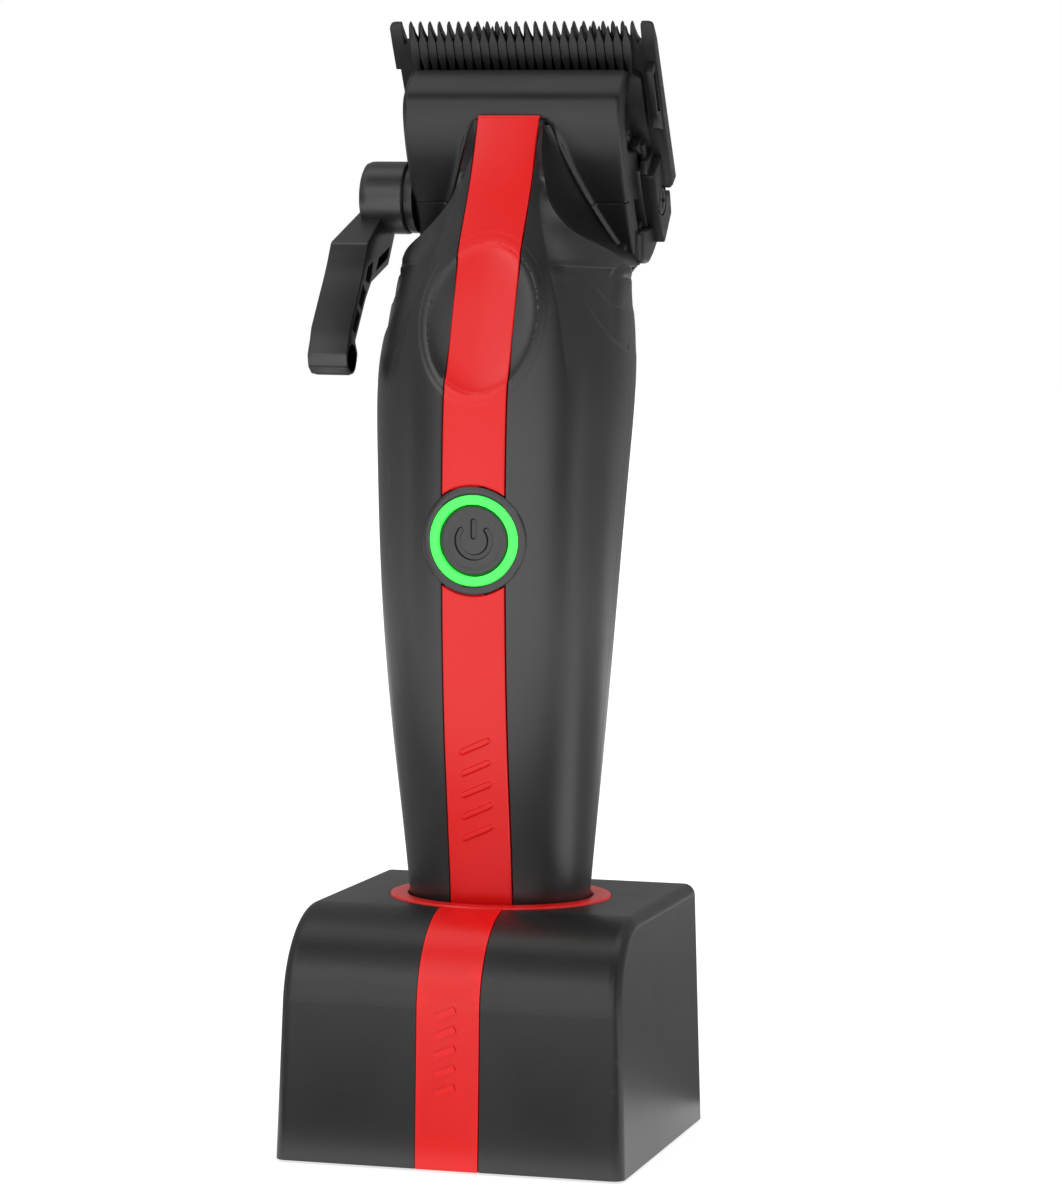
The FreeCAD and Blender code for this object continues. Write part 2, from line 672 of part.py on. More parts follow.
def make_drive():
    cell = cylinder("cell", "Sizes.CellRadius", "Sizes.CellLength", y="Sizes.CellY",
                    z="Sizes.CellZ")
    tip = cylinder("cell_tip", 2.8, 1.2, y="Sizes.CellY", z="Sizes.CellZ + Sizes.CellLength")
    part("battery_cell", fuse("battery_cell", cell, tip))
    cradle = cut("cradle_cup",
                 cylinder("cradle_outside", "Sizes.CellRadius + 0.9", 12, y="Sizes.CellY",
                          z="Sizes.CellZ - 2"),
                 cylinder("cradle_room", "Sizes.CellRadius + 0.1", 30, y="Sizes.CellY",
                          z="Sizes.CellZ"))
    part("battery_cradle", common("battery_cradle", cradle,
                                  box("cradle_range", 60, 17, 30, -6.5, "Sizes.CellZ - 3")))

    can = cylinder("motor_can", "Sizes.MotorRadius", "Sizes.MotorLength", y="Sizes.MotorY",
                   z="Sizes.MotorZ")
    nose = cylinder("motor_nose", 3.5, 1.6, y="Sizes.MotorY",
                    z="Sizes.MotorZ + Sizes.MotorLength")
    shaft_hole = cylinder("motor_bore", "Sizes.ShaftRadius + 0.05", 12, y="Sizes.MotorY",
                          z="Sizes.MotorZ + Sizes.MotorLength - 9")
    part("motor", cut("motor", fuse("motor_case", can, nose), shaft_hole))
    level = "Sizes.MotorZ + Sizes.MotorLength - 4.5"
    mount = box("mount_block", 27, 26, 4, "Sizes.MotorY - 12", f"{level} - 2")
    bore = cylinder("mount_bore", "Sizes.MotorRadius + 0.05", 12, y="Sizes.MotorY",
                    z=f"{level} - 6")
    screw_bores = [cylinder(f"mount_screw_bore_{side}", 1.02, 12, f"{side} * Sizes.ScrewPlace",
                            12, level, "y")
                   for side in (-1, 1)]
    part("motor_mount", cut("motor_mount", mount, bore, *screw_bores))

    end = "Sizes.MotorZ + Sizes.MotorLength"
    shaft = cylinder("shaft_rod", "Sizes.ShaftRadius", 11.5, y="Sizes.MotorY", z=f"{end} - 8")
    disc = cylinder("shaft_disc", 3.6, 2, y="Sizes.MotorY", z=f"{end} + 2.2")
    pin = cylinder("shaft_pin", "Sizes.CamPinRadius", 6, 0, "Sizes.MotorY + Sizes.CamThrow",
                   f"{end} + 4")
    part("drive_cam", fuse("drive_cam", shaft, disc, pin))


# ---------------------------------------------------------------- head

HEAD = Placement(Vector(0, size("HeadY"), size("HeadZ")),
                 Rotation(Vector(1, 0, 0), size("HeadTilt")))


def on_head(obj):
    """Take an object built in the head's own frame to its place on the product."""
    obj.Placement = HEAD.multiply(obj.Placement)
    return obj


def to_head(y, z):
    """The head's own (y, z) of a point given in the product's frame."""
    point = HEAD.inverse().multVec(Vector(0, y, z))
    return point.y, point.z


def head_front(grow):
    """The head's front and its rounded top edge, side view, as edges at x = 0."""
    front = size("HeadFront") - grow
    top = size("HeadTop") + grow
    half = size("HeadWidth") / 2 + grow
    low = Vector(-half, front, -30)
    turns = [Vector(-half, front, -1), Vector(-half, front + 0.2, 4.6),
             Vector(-half, front + 1.1, 9.6), Vector(-half, front + 2.4, 13.2 + 0.7 * grow),
             Vector(-half, front + 5.2, top - 1.1), Vector(-half, -5.0, top)]
    return [Part.makeLine(low, turns[0]), Part.Arc(*turns[:3]).toShape(),
            Part.Arc(*turns[2:5]).toShape(), Part.makeLine(turns[4], turns[5])]


def head_prism(name, edges, corners, half):
    """A side view, closed by corners of (y, z), run across the head's width."""
    ends = [Vector(-half, y, z) for y, z in corners]
    ends = [edges[-1].Vertexes[1].Point, *ends, edges[0].Vertexes[0].Point]
    wire = Part.Wire(edges + Part.makePolygon(ends).Edges)
    obj = feature(name, Part.Face(wire).extrude(Vector(2 * half, 0, 0)))
    obj.Placement = HEAD
    return obj


def head_block(name):
    """The solid form of the head, in place, standing on the casing's shoulders.

    Behind, it steps in for the two blades and then runs down to the casing's back.
    """
    step = size("CollarStep")
    low_y, low_z = to_head(25.4, size("ShoulderZ"))
    corners = [(-2.6, 11.0), (-2.6, -1.6), (-0.8, -1.6), (-0.8, step), (2.4, step),
               (2.4 + 1.3 * (low_y - 2.4), step + 1.3 * (low_z - step))]
    form = head_prism(f"{name}_form", head_front(0), corners, size("HeadWidth") / 2)
    return common(name, form, box(f"{name}_range", 80, 80, 60, -20, "Sizes.ShoulderZ + 0.1"))


def head_room(name):
    """The space behind the neck that the head takes, with a small gap."""
    half = size("HeadWidth") / 2 + 0.25
    form = head_prism(f"{name}_form", head_front(0.25), [(60, 40), (60, -90)], half)
    return common(name, form, box(f"{name}_range", 80, 120, 90, -20, "Sizes.ShoulderZ + 0.05"))


def make_fin(side):
    """A raised crest beside the neck, turning outwards down the head's front."""
    points = [(7.6, 9.2), (10.4, -1.4), (12.6, -4.4), (16.6, -13.8),
              (17.5, -13.8), (13.6, -4.0), (11.4, -0.9), (8.7, 9.2)]
    front = size("HeadFront")
    corners = [Vector(side * x, front - 1.5, z) for x, z in points]
    face = Part.Face(Part.makePolygon(corners + corners[:1]))
    obj = feature(f"head_fin_{'left' if side < 0 else 'right'}", face.extrude(Vector(0, 2.5, 0)))
    obj.Placement = HEAD
    return obj


def make_head():
    wall = size("HeadWall")
    front = size("HeadFront") + wall
    step = size("CollarStep")
    low_y, low_z = to_head(25.4, size("ShoulderZ"))
    fall = (low_z - step) / (low_y - 2.4)
    half = size("HeadWidth") / 2 - wall
    inside = [(front, step + fall * front), (front, 4), (front + 2, 12), (-6, 14), (3, 14),
              (3, step), (0, step)]
    points = [Vector(-half, y, z) for y, z in inside]
    room = Part.Face(Part.makePolygon(points + points[:1]))
    hollow = feature("head_hollow", room.extrude(Vector(2 * half, 0, 0)))
    hollow.Placement = HEAD
    outside = head_block("head_outside")
    bore = cylinder("head_lever_bore", "Sizes.LeverShaftRadius + 0.05", 12, -24, "Sizes.HubY",
                    "Sizes.HubZ", "x")
    screw_bores = fuse("head_screw_bores", *[
        cylinder(f"head_screw_bore_{index}", 0.9, 6, 15, y, z, "x")
        for index, (y, z) in enumerate(SIDE_SCREWS)])
    bracket_bore = cylinder("bracket_bore", 1.3, 9, 14, *BRACKET_SCREW, "x")
    frame = fuse("head_solid", outside, make_fin(-1), make_fin(1))
    frame = cut("head_frame", frame, hollow, bore, screw_bores, bracket_bore)
    above = box("above_seam", 80, 80, 60, -20, "Sizes.HeadSeamZ + 0.08")
    below = box("below_seam", 80, 80, 60, -20, "Sizes.HeadSeamZ - 60.08")
    part("head_cover", common("head_cover", frame, above))
    part("head_collar", common("head_collar", frame, below))

    plate = polygon_pad("bracket_plate", "YZ_Plane", [
        (-2.6, -2.6), (-8.4, -2.2), (-9.3, -3.6), (-9.3, -16.0), (-8.0, -17.1), (-0.9, -17.1),
        (-0.9, -4.4)], 2.4, "Sizes.HeadWidth / 2 + 0.02")
    bracket = cut("side_bracket_cut", on_head(plate),
                  cylinder("bracket_hole", 1.3, 9, 18, *BRACKET_SCREW, "x"))
    part("side_bracket", bracket)
    part("bracket_screw", side_screw("bracket_screw", 1.2, 2.5, 5.4, 22.54, *BRACKET_SCREW))
    part("head_screws", fuse("head_screws", *[
        side_screw(f"head_screw_{index}", 0.85, 1.5, 4, 20.12, y, z)
        for index, (y, z) in enumerate(SIDE_SCREWS)]))


SIDE_SCREWS = ((10.0, 172.2), (15.4, 154.4))
BRACKET_SCREW = (20.5, 161.0)


def side_screw(name, radius, head_radius, length, x, y, z):
    """A screw driven into the head's right side, its head's face at x."""
    return screw(name, radius, head_radius, length, 0.9, x, y, z,
                 Rotation(Vector(0, 1, 0), -90))


# ---------------------------------------------------------------- blades


def comb(name, width, low, root, tip, teeth, pitch, tooth, straight, front, thickness):
    """A blade plate with a row of pointed teeth, in the head's own frame.

    straight is the share of a tooth's length that keeps its full width.
    """
    body = polygon_pad(name, "XZ_Plane", [
        (f"-{width} / 2", low), (f"{width} / 2", low), (f"{width} / 2", root),
        (f"-{width} / 2", root)], thickness, f"-({front}) - ({thickness})")
    first = f"-({teeth} - 1) / 2 * {pitch}"
    sketch = body.newObject("Sketcher::SketchObject", f"{name}_tooth_sketch")
    sketch.AttachmentSupport = [(plane_of(body, "XZ_Plane"), "")]
    sketch.MapMode = "FlatFace"
    sketch.setExpression("AttachmentOffset.Base.z", f"-({front}) - ({thickness})")
    points = [(f"{first} - {tooth} / 2", f"{root} - 1"), (f"{first} + {tooth} / 2", f"{root} - 1"),
              (f"{first} + {tooth} / 2", f"{root} + ({tip} - {root}) * {straight}"),
              (f"{first} + {tooth} / 5", tip), (f"{first} - {tooth} / 5", tip),
              (f"{first} - {tooth} / 2", f"{root} + ({tip} - {root}) * {straight}")]
    corners = [[evaluate(value) for value in point] for point in points]
    for index, corner in enumerate(corners):
        following = corners[(index + 1) % len(corners)]
        sketch.addGeometry(Part.LineSegment(Vector(*corner, 0), Vector(*following, 0)), False)
    pad = body.newObject("PartDesign::Pad", f"{name}_tooth")
    pad.Profile = sketch
    bind(pad, Length=thickness)
    row = body.newObject("PartDesign::LinearPattern", f"{name}_teeth")
    row.Originals = [pad]
    row.Direction = (sketch, ["H_Axis"])
    bind(row, Length=f"({teeth} - 1) * {pitch}")
    row.Occurrences = int(evaluate(teeth))
    body.Tip = row
    return body


def bevel(name, y, z, angle, behind):
    """A block, turned in the head's frame, that thins the tips of a blade."""
    block = Part.makeBox(80, 12, 30, Vector(-40, 0 if behind else -12, -15))
    obj = feature(name, block)
    obj.Placement = Placement(Vector(0, y, z), Rotation(Vector(1, 0, 0), angle))
    return obj


def make_blades():
    front = "(-0.4)"
    fixed = comb("fixed_comb", "(Sizes.FixedWidth - 2 * Sizes.EarStep)", "Sizes.FixedBottom",
                 "Sizes.FixedRoot", "Sizes.FixedTip", "Sizes.FixedTeeth", "Sizes.FixedPitch",
                 "Sizes.FixedTooth", 0.3, front, "Sizes.FixedThickness")
    ears = [box(f"ear_{side}", "Sizes.EarWidth", "Sizes.FixedThickness",
                "Sizes.FixedTip - Sizes.EarFoot", front, "Sizes.EarFoot",
                f"{side} * (Sizes.FixedWidth / 2 - Sizes.EarWidth / 2)")
            for side in (-1, 1)]
    screw_x = "Sizes.CarrierWidth / 2 - 5"
    screw_z = "Sizes.FixedBottom + Sizes.CarrierHeight / 2"
    holes = [cylinder(f"fixed_hole_{side}", 1.5, 9, f"{side} * ({screw_x})", -3, screw_z, "y")
             for side in (-1, 1)]
    blade = cut("fixed_blade_cut", fuse("fixed_plate", fixed, *ears), *holes,
                bevel("fixed_bevel", 2.5, 15.5, 20, True))
    part("fixed_blade", on_head(blade))

    moving = comb("moving_comb", "Sizes.MovingWidth", "Sizes.MovingBottom",
                  "Sizes.MovingRoot", "Sizes.MovingTip", "Sizes.MovingTeeth",
                  "Sizes.MovingPitch", "Sizes.MovingTooth", 0.7, "(-2.2)",
                  "Sizes.MovingThickness")
    blade = cut("moving_blade_cut", moving, bevel("moving_bevel", -2.2, 17.5, -14, False))
    part("moving_blade", on_head(blade))

    # the carrier holds the fixed blade and is raised and lowered by the lever
    carrier = box("carrier_block", "Sizes.CarrierWidth", 12.5, "Sizes.CarrierHeight", -13,
                  "Sizes.FixedBottom")
    channel = box("carrier_channel", "Sizes.YokeWidth + 6", 10.1, 9, -13.1, -14)
    horn = box("carrier_horn", 3.4, 6.2, 7.4, -11.6, "Sizes.FixedBottom",
               "-Sizes.CarrierWidth / 2 + 1.7")
    slot = lever_slot("carrier_slot")
    holes = [cylinder(f"carrier_hole_{side}", 1.05, 9, f"{side} * ({screw_x})", -8, screw_z, "y")
             for side in (-1, 1)]
    part("blade_carrier", on_head(cut("blade_carrier", fuse("carrier_form", carrier, horn),
                                      channel, slot, *holes)))
    screws = [screw(f"blade_screw_{side}", 1.0, 2.4, 8, 1.2, f"{side} * ({screw_x})",
                    "Sizes.FixedThickness - 0.4 + 1.2", screw_z, Rotation(Vector(1, 0, 0), 90))
              for side in (-1, 1)]
    part("blade_screws", on_head(fuse("blade_screws", *screws)))

    # the yoke reaches down from the moving blade to the pin of the motor's cam
    tongue = on_head(fuse("yoke_tongue",
                          box("yoke_tongue_plate", "Sizes.YokeWidth", 2.1, 13, -4.35, -4.5),
                          box("yoke_tongue_rib", 2, 3.2, 6, -5.6, -1.0)))
    foot = "Sizes.MotorZ + Sizes.MotorLength + 5.4"
    upright = box("yoke_upright", "Sizes.YokeWidth", 1.8, f"170.0 - ({foot})", 19.3, foot)
    shelf = box("yoke_shelf", "Sizes.YokeWidth + 6", 25, 2.2, -3.9, foot)
    slot = box("yoke_slot", "2 * (Sizes.CamPinRadius + 2 * Sizes.CamThrow + 0.1)",
               "Sizes.YokeSlot", 9, "Sizes.MotorY - Sizes.YokeSlot / 2", f"{foot} - 3")
    trim = feature("yoke_trim", head_trim())
    part("drive_yoke", cut("drive_yoke", fuse("yoke_form", tongue, upright, shelf), slot, trim))

    spring = box("spring_leaf", 24, 0.5, 2.2, -3.4, 10.6)
    legs = [box(f"spring_leg_{side}", 2.2, 0.5, 9, -3.4, 3.2, f"{side} * 10.9")
            for side in (-1, 1)]
    part("tension_spring", on_head(fuse("tension_spring", spring, *legs)))


def head_trim():
    """What lies behind the front face of the moving blade, in place."""
    block = Part.makeBox(60, 20, 60, Vector(-30, -2.25, -10))
    block.Placement = HEAD
    return block


def lever_slot(name):
    """The slot, in the head's frame, that the lever's pin turns in."""
    y, z = to_head(size("HubY"), size("HubZ"))
    y += size("LeverCamThrow")
    half = size("LeverPinRadius") + size("CarrierSlotRise")
    block = Part.makeBox(9, 2 * half + 2.4, 2 * half,
                         Vector(-size("CarrierWidth") / 2 - 3, y - half - 1.4, z - half))
    return feature(name, block)


# ---------------------------------------------------------------- taper lever


def make_lever():
    hub = cylinder("lever_hub", "Sizes.HubRadius", "Sizes.HubOuter - Sizes.HubInner",
                   "-Sizes.HubOuter", "Sizes.HubY", "Sizes.HubZ", "x")
    hub = rounded("lever_hub_round", hub, 1.6,
                  [(-size("HubOuter"), size("HubY") - size("HubRadius"), size("HubZ"))])
    arm = polygon_pad("lever_arm", "YZ_Plane", [
        (19.0, 156.2), (15.6, 150.2), (5.2, 147.0), (2.0, 144.4), (-4.0, 136.8),
        (-2.6, 134.6), (-4.2, 131.4), (-7.8, 131.4), (-9.2, 134.4), (-7.6, 138.8),
        (-0.6, 147.8), (1.2, 150.6), (10.8, 154.0), (14.5, 160.0)],
        "Sizes.ArmOuter - Sizes.ArmInner", "-Sizes.ArmOuter")
    arm = rounded("lever_arm_round", arm, 0.9, [
        (-size("ArmOuter"), y, z) for y, z in (
            (10.4, 148.6), (3.6, 145.7), (-1, 140.6), (-4.1, 143.3), (0.3, 149.2), (5.7, 152.1))])
    pockets = [feature(f"lever_pocket_{index}", lever_pocket(*corners))
               for index, corners in enumerate(LEVER_POCKETS)]
    grip = cylinder("lever_grip", 2.7, "Sizes.ArmOuter - Sizes.ArmInner", "-Sizes.ArmOuter",
                    -5.9, 133.4, "x")
    socket = cylinder("lever_socket", "Sizes.LeverShaftRadius", 7, "-Sizes.HubInner - 6",
                      "Sizes.HubY", "Sizes.HubZ", "x")
    shoulder = polygon_pad("lever_shoulder", "XZ_Plane", [
        ("-Sizes.ArmOuter - 3", 163), ("-Sizes.HubOuter", 163), ("-Sizes.HubOuter", 159.6),
        ("-Sizes.ArmOuter", 156.2), ("-Sizes.ArmOuter - 3", 156.2)], 80)
    arm = cut("lever_arm_open", arm, shoulder, *pockets)
    part("taper_lever", cut("taper_lever", fuse("lever_form", arm, hub, grip), socket))

    shaft = cylinder("lever_rod", "Sizes.LeverShaftRadius", "Sizes.HubInner + 6 - 17.0",
                     "-Sizes.HubInner - 6", "Sizes.HubY", "Sizes.HubZ", "x")
    offset = HEAD.Rotation.multVec(Vector(0, size("LeverCamThrow"), 0))
    pin = cylinder("lever_pin", "Sizes.LeverPinRadius", 4.0, -17.6,
                   f"Sizes.HubY + {offset.y}", f"Sizes.HubZ + {offset.z}", "x")
    part("lever_shaft", fuse("lever_shaft", shaft, pin))
    part("lever_collar", tube("lever_collar", "Sizes.HubRadius - 1.0",
                              "Sizes.LeverShaftRadius + 0.05",
                              "Sizes.HubInner - Sizes.HeadWidth / 2 - 0.35", y="Sizes.HubY",
                              z="Sizes.HubZ", x="-Sizes.HubInner + 0.3", along="x"))


# Side views of the three pockets on the lever's inner side.
LEVER_POCKETS = (
    ((14.4, 152.0), (8.4, 149.6), (5.0, 150.4), (11.2, 152.6)),
    ((4.4, 148.0), (1.9, 146.0), (0.6, 147.4), (2.6, 149.8)),
    ((0.9, 144.8), (-4.3, 138.0), (-6.2, 138.6), (-0.6, 146.0)),
)


def lever_pocket(*corners):
    """A pocket sunk from the lever's inner side towards its outer wall."""
    points = [Vector(-size("ArmOuter") + 1.4, y, z) for y, z in corners]
    face = Part.Face(Part.makePolygon(points + points[:1]))
    return face.extrude(Vector(12, 0, 0))


# ---------------------------------------------------------------- build and write

make_casing()
make_button()
make_dock()
make_drive()
make_head()
make_blades()
make_lever()
doc.recompute()

failed = [obj.Name for obj in doc.Objects
          if {"Invalid", "Error"} & set(obj.State)]
assert not failed, f"failed objects: {failed}"
for name, obj in parts.items():
    assert not obj.Shape.isNull() and obj.Shape.isValid(), f"{name} has no valid shape"

os.makedirs("parts", exist_ok=True)
for name, obj in parts.items():
    obj.Shape.exportStep(f"parts/{name}.step")
    print(name, len(obj.Shape.Solids), round(obj.Shape.Volume, 1))
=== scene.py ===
import json
import math

import bmesh
import bpy
import numpy as np
from mathutils import Matrix, Vector


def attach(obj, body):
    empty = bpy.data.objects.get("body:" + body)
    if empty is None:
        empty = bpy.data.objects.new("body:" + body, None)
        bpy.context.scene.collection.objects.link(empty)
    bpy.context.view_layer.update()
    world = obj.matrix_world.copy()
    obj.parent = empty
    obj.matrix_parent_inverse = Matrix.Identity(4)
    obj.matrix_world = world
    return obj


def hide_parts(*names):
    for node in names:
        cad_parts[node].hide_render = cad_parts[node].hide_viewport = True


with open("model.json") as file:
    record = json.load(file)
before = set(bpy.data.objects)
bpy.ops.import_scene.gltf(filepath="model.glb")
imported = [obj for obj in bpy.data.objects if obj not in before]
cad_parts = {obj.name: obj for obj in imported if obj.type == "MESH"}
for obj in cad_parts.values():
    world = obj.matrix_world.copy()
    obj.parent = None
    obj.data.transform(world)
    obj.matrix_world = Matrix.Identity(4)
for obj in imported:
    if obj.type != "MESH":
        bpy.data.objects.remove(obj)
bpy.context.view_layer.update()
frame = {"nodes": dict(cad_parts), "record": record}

# Cordless hair clipper in its charging dock. Shapes below are worked out in
# millimetres and turned into metres when their mesh is made.

MM = 0.001


# ------------------------------------------------------------------ materials


def shader(name, colour, roughness, **sockets):
    """A material with a Principled shader, its nodes and its links."""
    material = bpy.data.materials.new(name)
    material.use_nodes = True
    nodes = material.node_tree.nodes
    principled = nodes["Principled BSDF"]
    principled.inputs["Base Color"].default_value = (*colour, 1)
    principled.inputs["Roughness"].default_value = roughness
    for word, value in sockets.items():
        principled.inputs[word.replace("_", " ")].default_value = value
    return material, nodes, material.node_tree.links, principled


def add_noise(nodes, links, scale, detail=3.0):
    """Noise in the object's own metres."""
    place = nodes.new("ShaderNodeTexCoord")
    noise = nodes.new("ShaderNodeTexNoise")
    noise.inputs["Scale"].default_value = scale
    noise.inputs["Detail"].default_value = detail
    links.new(place.outputs["Object"], noise.inputs["Vector"])
    return noise.outputs["Fac"]


def spread(nodes, links, source, low, high, start=0.3, end=0.7):
    """Map a texture's middle range onto low to high."""
    ramp = nodes.new("ShaderNodeMapRange")
    ramp.inputs["From Min"].default_value = start
    ramp.inputs["From Max"].default_value = end
    ramp.inputs["To Min"].default_value = low
    ramp.inputs["To Max"].default_value = high
    links.new(source, ramp.inputs["Value"])
    return ramp.outputs["Result"]


def moulded(name, colour, roughness, grain=2600.0, depth=0.00003, worn=1.6, **sockets):
    """Moulded plastic: fine spark grain, cloudy gloss, handled edges a little lighter."""
    material, nodes, links, principled = shader(name, colour, roughness, **sockets)
    cloud = add_noise(nodes, links, 45.0)
    links.new(spread(nodes, links, cloud, roughness * 0.92, roughness * 1.1),
              principled.inputs["Roughness"])
    edge = nodes.new("ShaderNodeNewGeometry")
    wear = spread(nodes, links, edge.outputs["Pointiness"], 0.0, 1.0, 0.52, 0.58)
    tint = nodes.new("ShaderNodeMix")
    tint.data_type = "RGBA"
    tint.inputs["A"].default_value = (*colour, 1)
    tint.inputs["B"].default_value = (*[min(1, c * worn) for c in colour], 1)
    links.new(wear, tint.inputs["Factor"])
    links.new(tint.outputs["Result"], principled.inputs["Base Color"])
    bump = nodes.new("ShaderNodeBump")
    bump.inputs["Distance"].default_value = depth
    bump.inputs["Strength"].default_value = 0.5
    links.new(add_noise(nodes, links, grain, 2.0), bump.inputs["Height"])
    links.new(bump.outputs["Normal"], principled.inputs["Normal"])
    return material


def ground_metal(name, colour, roughness, metallic, along=(1.0, 1.0, 1.0)):
    """Ground and coated metal: fine lines stretched along the grinding direction."""
    material, nodes, links, principled = shader(name, colour, roughness, Metallic=metallic)
    place = nodes.new("ShaderNodeTexCoord")
    stretch = nodes.new("ShaderNodeMapping")
    stretch.inputs["Scale"].default_value = along
    lines = nodes.new("ShaderNodeTexNoise")
    lines.inputs["Scale"].default_value = 900.0
    lines.inputs["Detail"].default_value = 4.0
    links.new(place.outputs["Object"], stretch.inputs["Vector"])
    links.new(stretch.outputs["Vector"], lines.inputs["Vector"])
    links.new(spread(nodes, links, lines.outputs["Fac"], roughness * 0.8, roughness * 1.25),
              principled.inputs["Roughness"])
    bump = nodes.new("ShaderNodeBump")
    bump.inputs["Distance"].default_value = 0.00002
    bump.inputs["Strength"].default_value = 0.35
    links.new(lines.outputs["Fac"], bump.inputs["Height"])
    links.new(bump.outputs["Normal"], principled.inputs["Normal"])
    return material


def glowing(name, colour, strength):
    """A lit light guide, a touch brighter and dimmer round its length."""
    material, nodes, links, principled = shader(name, colour, 0.35)
    principled.inputs["Emission Color"].default_value = (*colour, 1)
    flicker = add_noise(nodes, links, 160.0)
    links.new(spread(nodes, links, flicker, strength * 0.96, strength * 1.04),
              principled.inputs["Emission Strength"])
    return material


MATERIALS = {
    "casing_plastic": moulded("casing_grey", (0.0105, 0.0105, 0.011), 0.33,
                              Specular_IOR_Level=0.95),
    "dock_plastic": moulded("dock_grey", (0.011, 0.011, 0.0115), 0.36,
                            Specular_IOR_Level=0.7),
    "red_trim": moulded("trim_red", (0.70, 0.004, 0.004), 0.3, worn=1.1,
                        Specular_IOR_Level=0.5),
    "well_plastic": moulded("inner_black", (0.006, 0.006, 0.0065), 0.36,
                            Specular_IOR_Level=0.7),
    "black_metal": ground_metal("black_coat", (0.012, 0.012, 0.013), 0.36, 0.0, (1, 0.1, 1)),
    "steel": ground_metal("steel", (0.56, 0.56, 0.57), 0.3, 1.0),
    "foot_rubber": moulded("foot_rubber", (0.02, 0.02, 0.02), 0.8, 900.0, 0.00006),
    "board": moulded("solder_mask", (0.01, 0.12, 0.04), 0.35),
    "contact_metal": ground_metal("gold_plate", (0.83, 0.6, 0.25), 0.25, 1.0),
    "light_green": glowing("light_green", (0.045, 1.0, 0.075), 1.0),
    "cell_sleeve": moulded("cell_sleeve", (0.05, 0.12, 0.4), 0.4),
}
SLOTS = {row["node"]: row["material_slot"] for row in frame["record"]["subparts"]}


def dress(obj, slot):
    """Give a piece the material of one of the record's slots."""
    obj.data.materials.clear()
    obj.data.materials.append(MATERIALS[slot])


for node, cad in frame["nodes"].items():
    dress(cad, SLOTS[node])


# ------------------------------------------------------------------ mesh helpers


def finished(name, mesh, body, node=None, slot=None, sharp=32):
    """Turn a mesh in millimetres into a piece that rides on a body.

    It replaces a CAD node and takes that node's slot, or has a slot of its own.
    """
    mesh.transform(Matrix.Scale(MM, 4))
    mesh.update()
    mesh.shade_smooth()
    mesh.set_sharp_from_angle(angle=math.radians(sharp))
    obj = bpy.data.objects.new(name, mesh)
    bpy.context.scene.collection.objects.link(obj)
    slot = slot or SLOTS[node]
    obj.data.materials.append(MATERIALS[slot])
    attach(obj, body)
    if node:
        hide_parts(node)


def loop_mesh(name, points, caps=False):
    """A mesh of rows of closed loops; with caps, its first and last rows are filled."""
    points = np.asarray(points)
    rows, columns = points.shape[:2]
    faces = []
    for i in range(rows - 1):
        for j in range(columns):
            here, there = i * columns, (i + 1) * columns
            after = (j + 1) % columns
            faces.append((here + j, here + after, there + after, there + j))
    if caps:
        faces.append(tuple(range(columns - 1, -1, -1)))
        faces.append(tuple((rows - 1) * columns + j for j in range(columns)))
    mesh = bpy.data.meshes.new(name)
    mesh.from_pydata([tuple(p) for p in points.reshape(-1, 3)], [], faces)
    whole = bmesh.new()
    whole.from_mesh(mesh)
    bmesh.ops.remove_doubles(whole, verts=whole.verts, dist=1e-4)
    bmesh.ops.recalc_face_normals(whole, faces=whole.faces)
    whole.to_mesh(mesh)
    whole.free()
    return mesh


def smooth_curve(levels, values):
    """A natural cubic spline through the values, as a function of the level."""
    x, y = np.array(levels, float), np.array(values, float)
    gap = np.diff(x)
    count = len(x)
    matrix, right = np.eye(count), np.zeros(count)
    for i in range(1, count - 1):
        matrix[i, i - 1:i + 2] = gap[i - 1], 2 * (gap[i - 1] + gap[i]), gap[i]
        right[i] = 6 * ((y[i + 1] - y[i]) / gap[i] - (y[i] - y[i - 1]) / gap[i - 1])
    bend = np.linalg.solve(matrix, right)

    def value(level):
        level = np.asarray(level, float)
        k = np.clip(np.searchsorted(x, level) - 1, 0, count - 2)
        step = gap[k]
        before, after = (x[k + 1] - level) / step, (level - x[k]) / step
        return (before * y[k] + after * y[k + 1]
                + ((before ** 3 - before) * bend[k] + (after ** 3 - after) * bend[k + 1])
                * step ** 2 / 6)
    return value


def ramp(value, start, end):
    """Smooth step from 0 at start to 1 at end."""
    share = np.clip((value - start) / (end - start), 0, 1)
    return share * share * (3 - 2 * share)


# ------------------------------------------------------------------ casing form

# Level sections of the casing: height, half width, front, back, roundness.
STATIONS = np.array((
    (12.0, 13.3, -7.9, 12.9, 2.2),
    (28.0, 14.4, -9.1, 13.6, 2.2),
    (44.0, 15.6, -10.7, 14.3, 2.2),
    (68.0, 17.8, -14.9, 15.3, 2.3),
    (93.0, 19.75, -17.6, 16.4, 2.4),
    (118.5, 21.15, -18.5, 20.6, 2.4),
    (135.0, 21.4, -17.1, 23.5, 2.4),
    (149.0, 20.15, -12.1, 25.6, 2.5),
    (162.0, 20.6, -4.4, 27.5, 2.6),
    (176.0, 20.0, 1.6, 30.0, 2.6),
))
HALF, FRONT, BACK, POWER = (smooth_curve(STATIONS[:, 0], STATIONS[:, k]) for k in range(1, 5))
CASING_LOW = 17.1
SHOULDER = 150.4          # where the back shell ends and the neck leaves the shoulders
NECK_TOP = 174.3
CHANNEL = 5.5             # half width of the channel that the red stripe lies in
CHANNEL_BED = 1.2         # how far that channel's floor is below the surface
BUTTON_Z = 104.0
BEZEL = 9.1               # outer radius of the ring round the button
BACK_SCREW = (11.5, 131.5)
# The round well under the button: depth, radii of its floor and rim, half height in the channel.
WELL = dict(depth=0.9, floor=6.4, rim=7.2, half=6.1)
